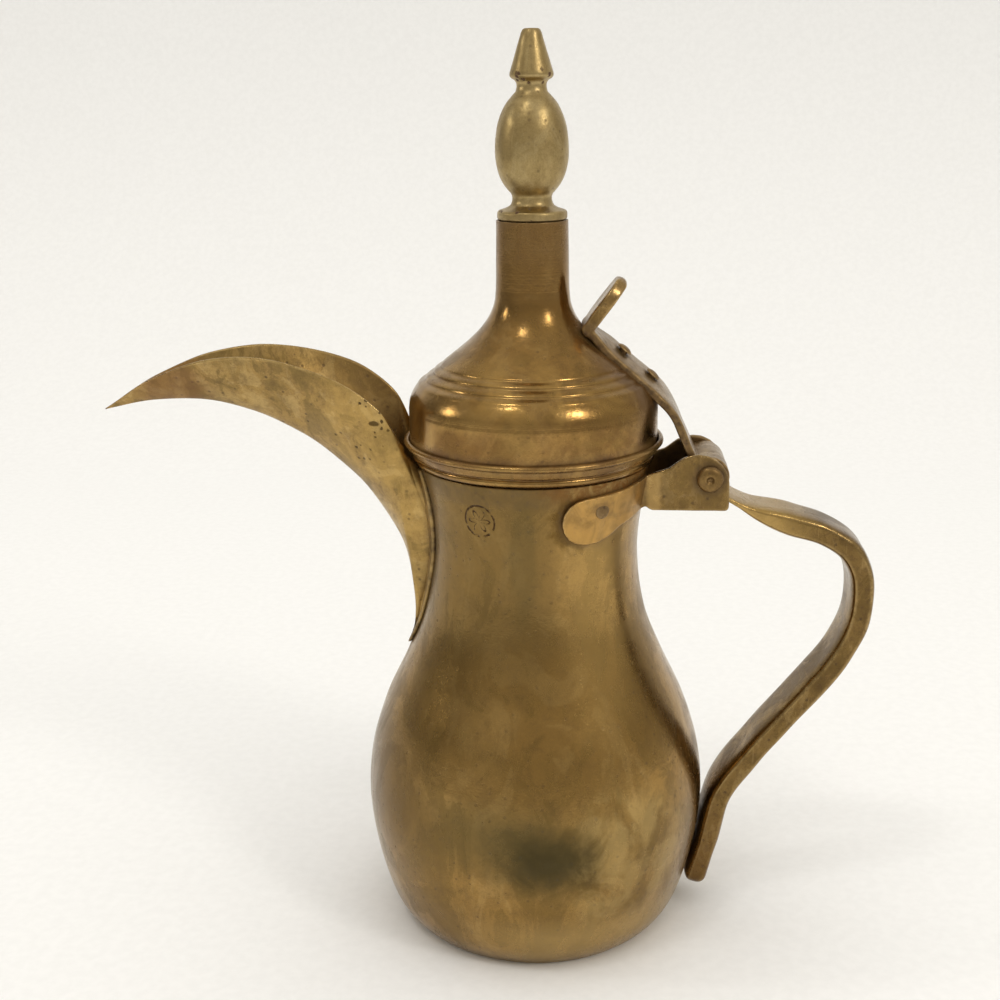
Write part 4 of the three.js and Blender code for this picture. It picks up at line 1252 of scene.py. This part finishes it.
finishTones = ("Brass", "Bright", "Olive", "Umber")
finishAmounts = (
    "Blotch Size", "Clouds", "Blotches", "Mottle", "Specks", "Streaks", "Scratches", "Rings", "Wear",
    "Grime And Shade", "Smooth", "Dull",
)
finishes = {  # material, the tones and the amounts in the order above, and the marks of its own
    "body": ("agedBodyBrass",
             [(0.4, 0.24, 0.074), (0.58, 0.38, 0.14), (0.205, 0.13, 0.039), (0.12, 0.062, 0.02)],
             (20, 0.6, 0.55, 0.25, 0.35, 0.7, 0.35, 0.25, 0.6, 0.95, 0.2, 0.42), bodyExtra),
    "dome": ("agedLidBrass",
             [(0.37, 0.215, 0.068), (0.55, 0.36, 0.14), (0.21, 0.128, 0.04), (0.12, 0.06, 0.02)],
             (30, 0.5, 0.45, 0.25, 0.3, 0.25, 0.25, 0.8, 0.7, 0.95, 0.17, 0.36), domeExtra),
    "spout": ("mottledSpoutBrass",
              [(0.46, 0.295, 0.1), (0.68, 0.48, 0.2), (0.25, 0.17, 0.06), (0.13, 0.075, 0.027)],
              (34, 0.8, 0.6, 0.45, 0.6, 0.2, 0.5, 0, 0.75, 0.95, 0.28, 0.5), spoutExtra),
    "cast": ("filedCastBrass",
             [(0.35, 0.218, 0.076), (0.6, 0.42, 0.19), (0.2, 0.122, 0.042), (0.11, 0.055, 0.02)],
             (42, 0.5, 0.5, 0.4, 0.5, 0.15, 0.6, 0, 0.8, 0.95, 0.24, 0.45), None),
    # the bracket's Wear is full: worn edges, and painted highlights along the edges of its ears
    "bracket": ("filedBracketBrass",
                [(0.33, 0.205, 0.07), (0.6, 0.42, 0.19), (0.18, 0.115, 0.04), (0.11, 0.05, 0.018)],
                (42, 0.5, 0.5, 0.35, 0.5, 0.15, 0.6, 0, 1.0, 0.95, 0.24, 0.45), bracketPaintedLight),
    "handle": ("handledStrapBrass",
               [(0.24, 0.15, 0.052), (0.44, 0.3, 0.125), (0.14, 0.088, 0.031), (0.085, 0.042, 0.016)],
               (38, 0.6, 0.5, 0.4, 0.5, 0.1, 0.6, 0, 0.85, 0.9, 0.22, 0.42), handleExtra),
    "finial": ("paleCastBrass",
               [(0.5, 0.37, 0.165), (0.66, 0.52, 0.27), (0.33, 0.235, 0.095), (0.13, 0.07, 0.027)],
               (60, 0.5, 0.3, 0.2, 0.35, 0.1, 0.3, 0.5, 0.5, 0.45, 0.34, 0.48), finialExtra),
    "seat": ("tinnedSeatBrass",
             [(0.36, 0.28, 0.15), (0.55, 0.46, 0.3), (0.2, 0.15, 0.08), (0.1, 0.06, 0.03)],
             (50, 0.5, 0.6, 0.5, 0.6, 0.3, 0.3, 0.5, 0.4, 0.9, 0.4, 0.65), None),
}


def brassMaterial(name, tones, amounts, extra):
    material = bpy.data.materials.new(name)
    material.use_nodes = True
    t = Tree(material.node_tree)
    t.tree.nodes.clear()
    coords = t.add("ShaderNodeTexCoord").outputs["Object"]
    skin = t.add("ShaderNodeGroup", node_tree=brassSkin)
    t.put(skin.inputs["Vector"], coords)
    for key, tone in zip(finishTones, tones):
        skin.inputs[key].default_value = (*tone, 1)
    for key, amount in zip(finishAmounts, amounts):
        skin.inputs[key].default_value = amount
    look = {key: skin.outputs[key] for key in ("Color", "Roughness", "Metallic", "Height")}
    if extra:
        extra(t, coords, look)
    bump = t.add("ShaderNodeBump")
    bump.inputs["Strength"].default_value = 1.0
    bump.inputs["Distance"].default_value = 0.001
    t.put(bump.inputs["Height"], look["Height"])
    shader = t.add("ShaderNodeBsdfPrincipled")
    t.put(shader.inputs["Base Color"], look["Color"])
    t.put(shader.inputs["Roughness"], look["Roughness"])
    t.put(shader.inputs["Metallic"], look["Metallic"])
    t.put(shader.inputs["Normal"], bump.outputs[0])
    out = t.add("ShaderNodeOutputMaterial")
    t.put(out.inputs["Surface"], shader.outputs[0])
    return material


materials = {key: brassMaterial(*row) for key, row in finishes.items()}
finishOf = {
    "potBody": "body", "basePlate": "body", "mouthRing": "seat", "spout": "spout", "hingeBracket": "bracket",
    "hingePin": "cast", "handle": "handle", "handleRivet": "cast", "wingRivets": "cast", "armRivets": "cast",
    "lidArm": "cast", "lidDome": "dome", "lidBand": "dome", "lidCollar": "seat", "finial": "finial",
}
for name, (piece, bodyName, slot, nodes) in pieces.items():
    piece.data.materials.clear()
    piece.data.materials.append(materials[finishOf[name]])
    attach(piece, bodyName)
    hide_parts(*nodes)
print("finishes set")

# stage, light and camera

stageShape = {"floor": 1.6, "wallStart": 0.55, "wallRadius": 0.35, "wallHeight": 1.2}


def sweepFloor():  # floor that curves up into a wall behind
    back = [(-1.4, 0.0), (stageShape["wallStart"], 0.0)]
    r = stageShape["wallRadius"]
    for a in np.linspace(0.1, math.pi / 2, 14):
        back.append((stageShape["wallStart"] + r * math.sin(a), r * (1 - math.cos(a))))
    back.append((stageShape["wallStart"] + r, stageShape["wallHeight"]))
    half = stageShape["floor"]
    verts = [(x, y, z) for y, z in back for x in (-half, half)]
    faces = [(2 * i, 2 * i + 1, 2 * i + 3, 2 * i + 2) for i in range(len(back) - 1)]
    floor = meshObject("floor", verts, faces)
    floor.data.shade_smooth()
    return floor


floor = sweepFloor()
pale = bpy.data.materials.new("palePaper")
pale.use_nodes = True
p = Tree(pale.node_tree)
grain = p.noise(p.add("ShaderNodeTexCoord").outputs["Object"], 240.0, 4, 0.6)
paint = pale.node_tree.nodes["Principled BSDF"]
paperTone = p.mix(p.span(grain, 0.3, 0.7, 0, 1), (0.83, 0.84, 0.85, 1), (0.86, 0.87, 0.88, 1))
p.put(paint.inputs["Base Color"], paperTone)
paint.inputs["Roughness"].default_value = 0.9
floor.data.materials.append(pale)

aimPoint = Vector((0, 0, 0.15))


def softbox(name, azimuth, elevation, distance, size, power, color=(1, 1, 1)):
    light = bpy.data.lights.new(name, "AREA")
    light.shape = "RECTANGLE"
    light.size, light.size_y = size
    light.energy = power
    light.color = color
    lamp = bpy.data.objects.new(name, light)
    a, e = math.radians(azimuth), math.radians(elevation)
    away = Vector((math.sin(a) * math.cos(e), -math.cos(a) * math.cos(e), math.sin(e)))
    lamp.location = aimPoint + away * distance
    lamp.rotation_euler = (-away).to_track_quat("-Z", "Y").to_euler()
    scene.collection.objects.link(lamp)
    return lamp


lightSetup = [  # name, degrees to the right of the camera, elevation, distance, size, power, colour
    ("windowLeft", -84, 24, 1.5, (0.14, 0.3), 2.0, (1.0, 0.96, 0.9)),
    ("windowRight", 50, 38, 1.6, (0.26, 0.34), 4.2, (1.0, 0.95, 0.88)),
    ("windowFront", -36, 62, 1.8, (0.2, 0.2), 2.2, (1.0, 0.97, 0.93)),
]
for row in lightSetup:
    softbox(*row)
overhead = softbox("overhead", 20, 84, 2.2, (2.4, 2.4), 24, (1.0, 0.985, 0.965))  # lights the paper only
overhead.visible_glossy = False

roomTones = [  # degrees to the right of the front, and how light the room is there
    (-180, 0.6), (-142, 0.5), (-118, 0.24), (-96, 0.16), (-74, 0.2), (-56, 0.4), (-34, 0.52), (-14, 0.54),
    (14, 0.52), (34, 0.56), (54, 0.95), (76, 1.3), (92, 1.0), (110, 0.45), (135, 0.5), (180, 0.6),
]
world = bpy.data.worlds.new("room")
world.use_nodes = True
scene.world = world
w = Tree(world.node_tree)
direction = w.add("ShaderNodeTexCoord").outputs["Generated"]
side, depth, up = w.split(direction)
turn = w.math("ARCTAN2", side, w.times(depth, -1.0))  # 0 in front, + to the right
around = w.add("ShaderNodeValToRGB")
w.put(around.inputs[0], w.span(turn, -math.pi, math.pi, smooth=False))
around.color_ramp.interpolation = "EASE"
while len(around.color_ramp.elements) > 1:
    around.color_ramp.elements.remove(around.color_ramp.elements[0])
for k, (degrees, tone) in enumerate(roomTones):
    stop = around.color_ramp.elements[0] if k == 0 else around.color_ramp.elements.new(0.5)
    stop.position = (degrees + 180) / 360
    stop.color = (tone, tone * 0.93, tone * 0.81, 1)
far = w.span(up, 0.34, -0.04)  # paper seen far off, fading into the room
tone = w.tint(around.outputs[0], far, 0.5, (0.6, 0.58, 0.54, 1))
tone = w.mix(w.span(up, 0.25, 0.9), tone, (0.74, 0.7, 0.62, 1))
background = world.node_tree.nodes["Background"]
w.put(background.inputs["Color"], tone)
background.inputs["Strength"].default_value = 1.0

cameraSetup = {
    "place": (0.01734, -0.45137, 0.2832), "pitch": 16.5, "heading": 3.636, "roll": -0.7, "lens": 50.4,
}
camera = bpy.data.objects.new("camera", bpy.data.cameras.new("camera"))
camera.data.lens = cameraSetup["lens"]
camera.data.sensor_width = 36.0
camera.data.clip_start, camera.data.clip_end = 0.01, 20.0
look = Matrix.Rotation(math.radians(cameraSetup["heading"]), 4, "Z")
look = look @ Matrix.Rotation(math.radians(90 - cameraSetup["pitch"]), 4, "X")
look = look @ Matrix.Rotation(math.radians(cameraSetup["roll"]), 4, "Z")
camera.matrix_world = Matrix.Translation(cameraSetup["place"]) @ look
scene.collection.objects.link(camera)
scene.camera = camera
scene.view_settings.view_transform = "Standard"
print("stage set")
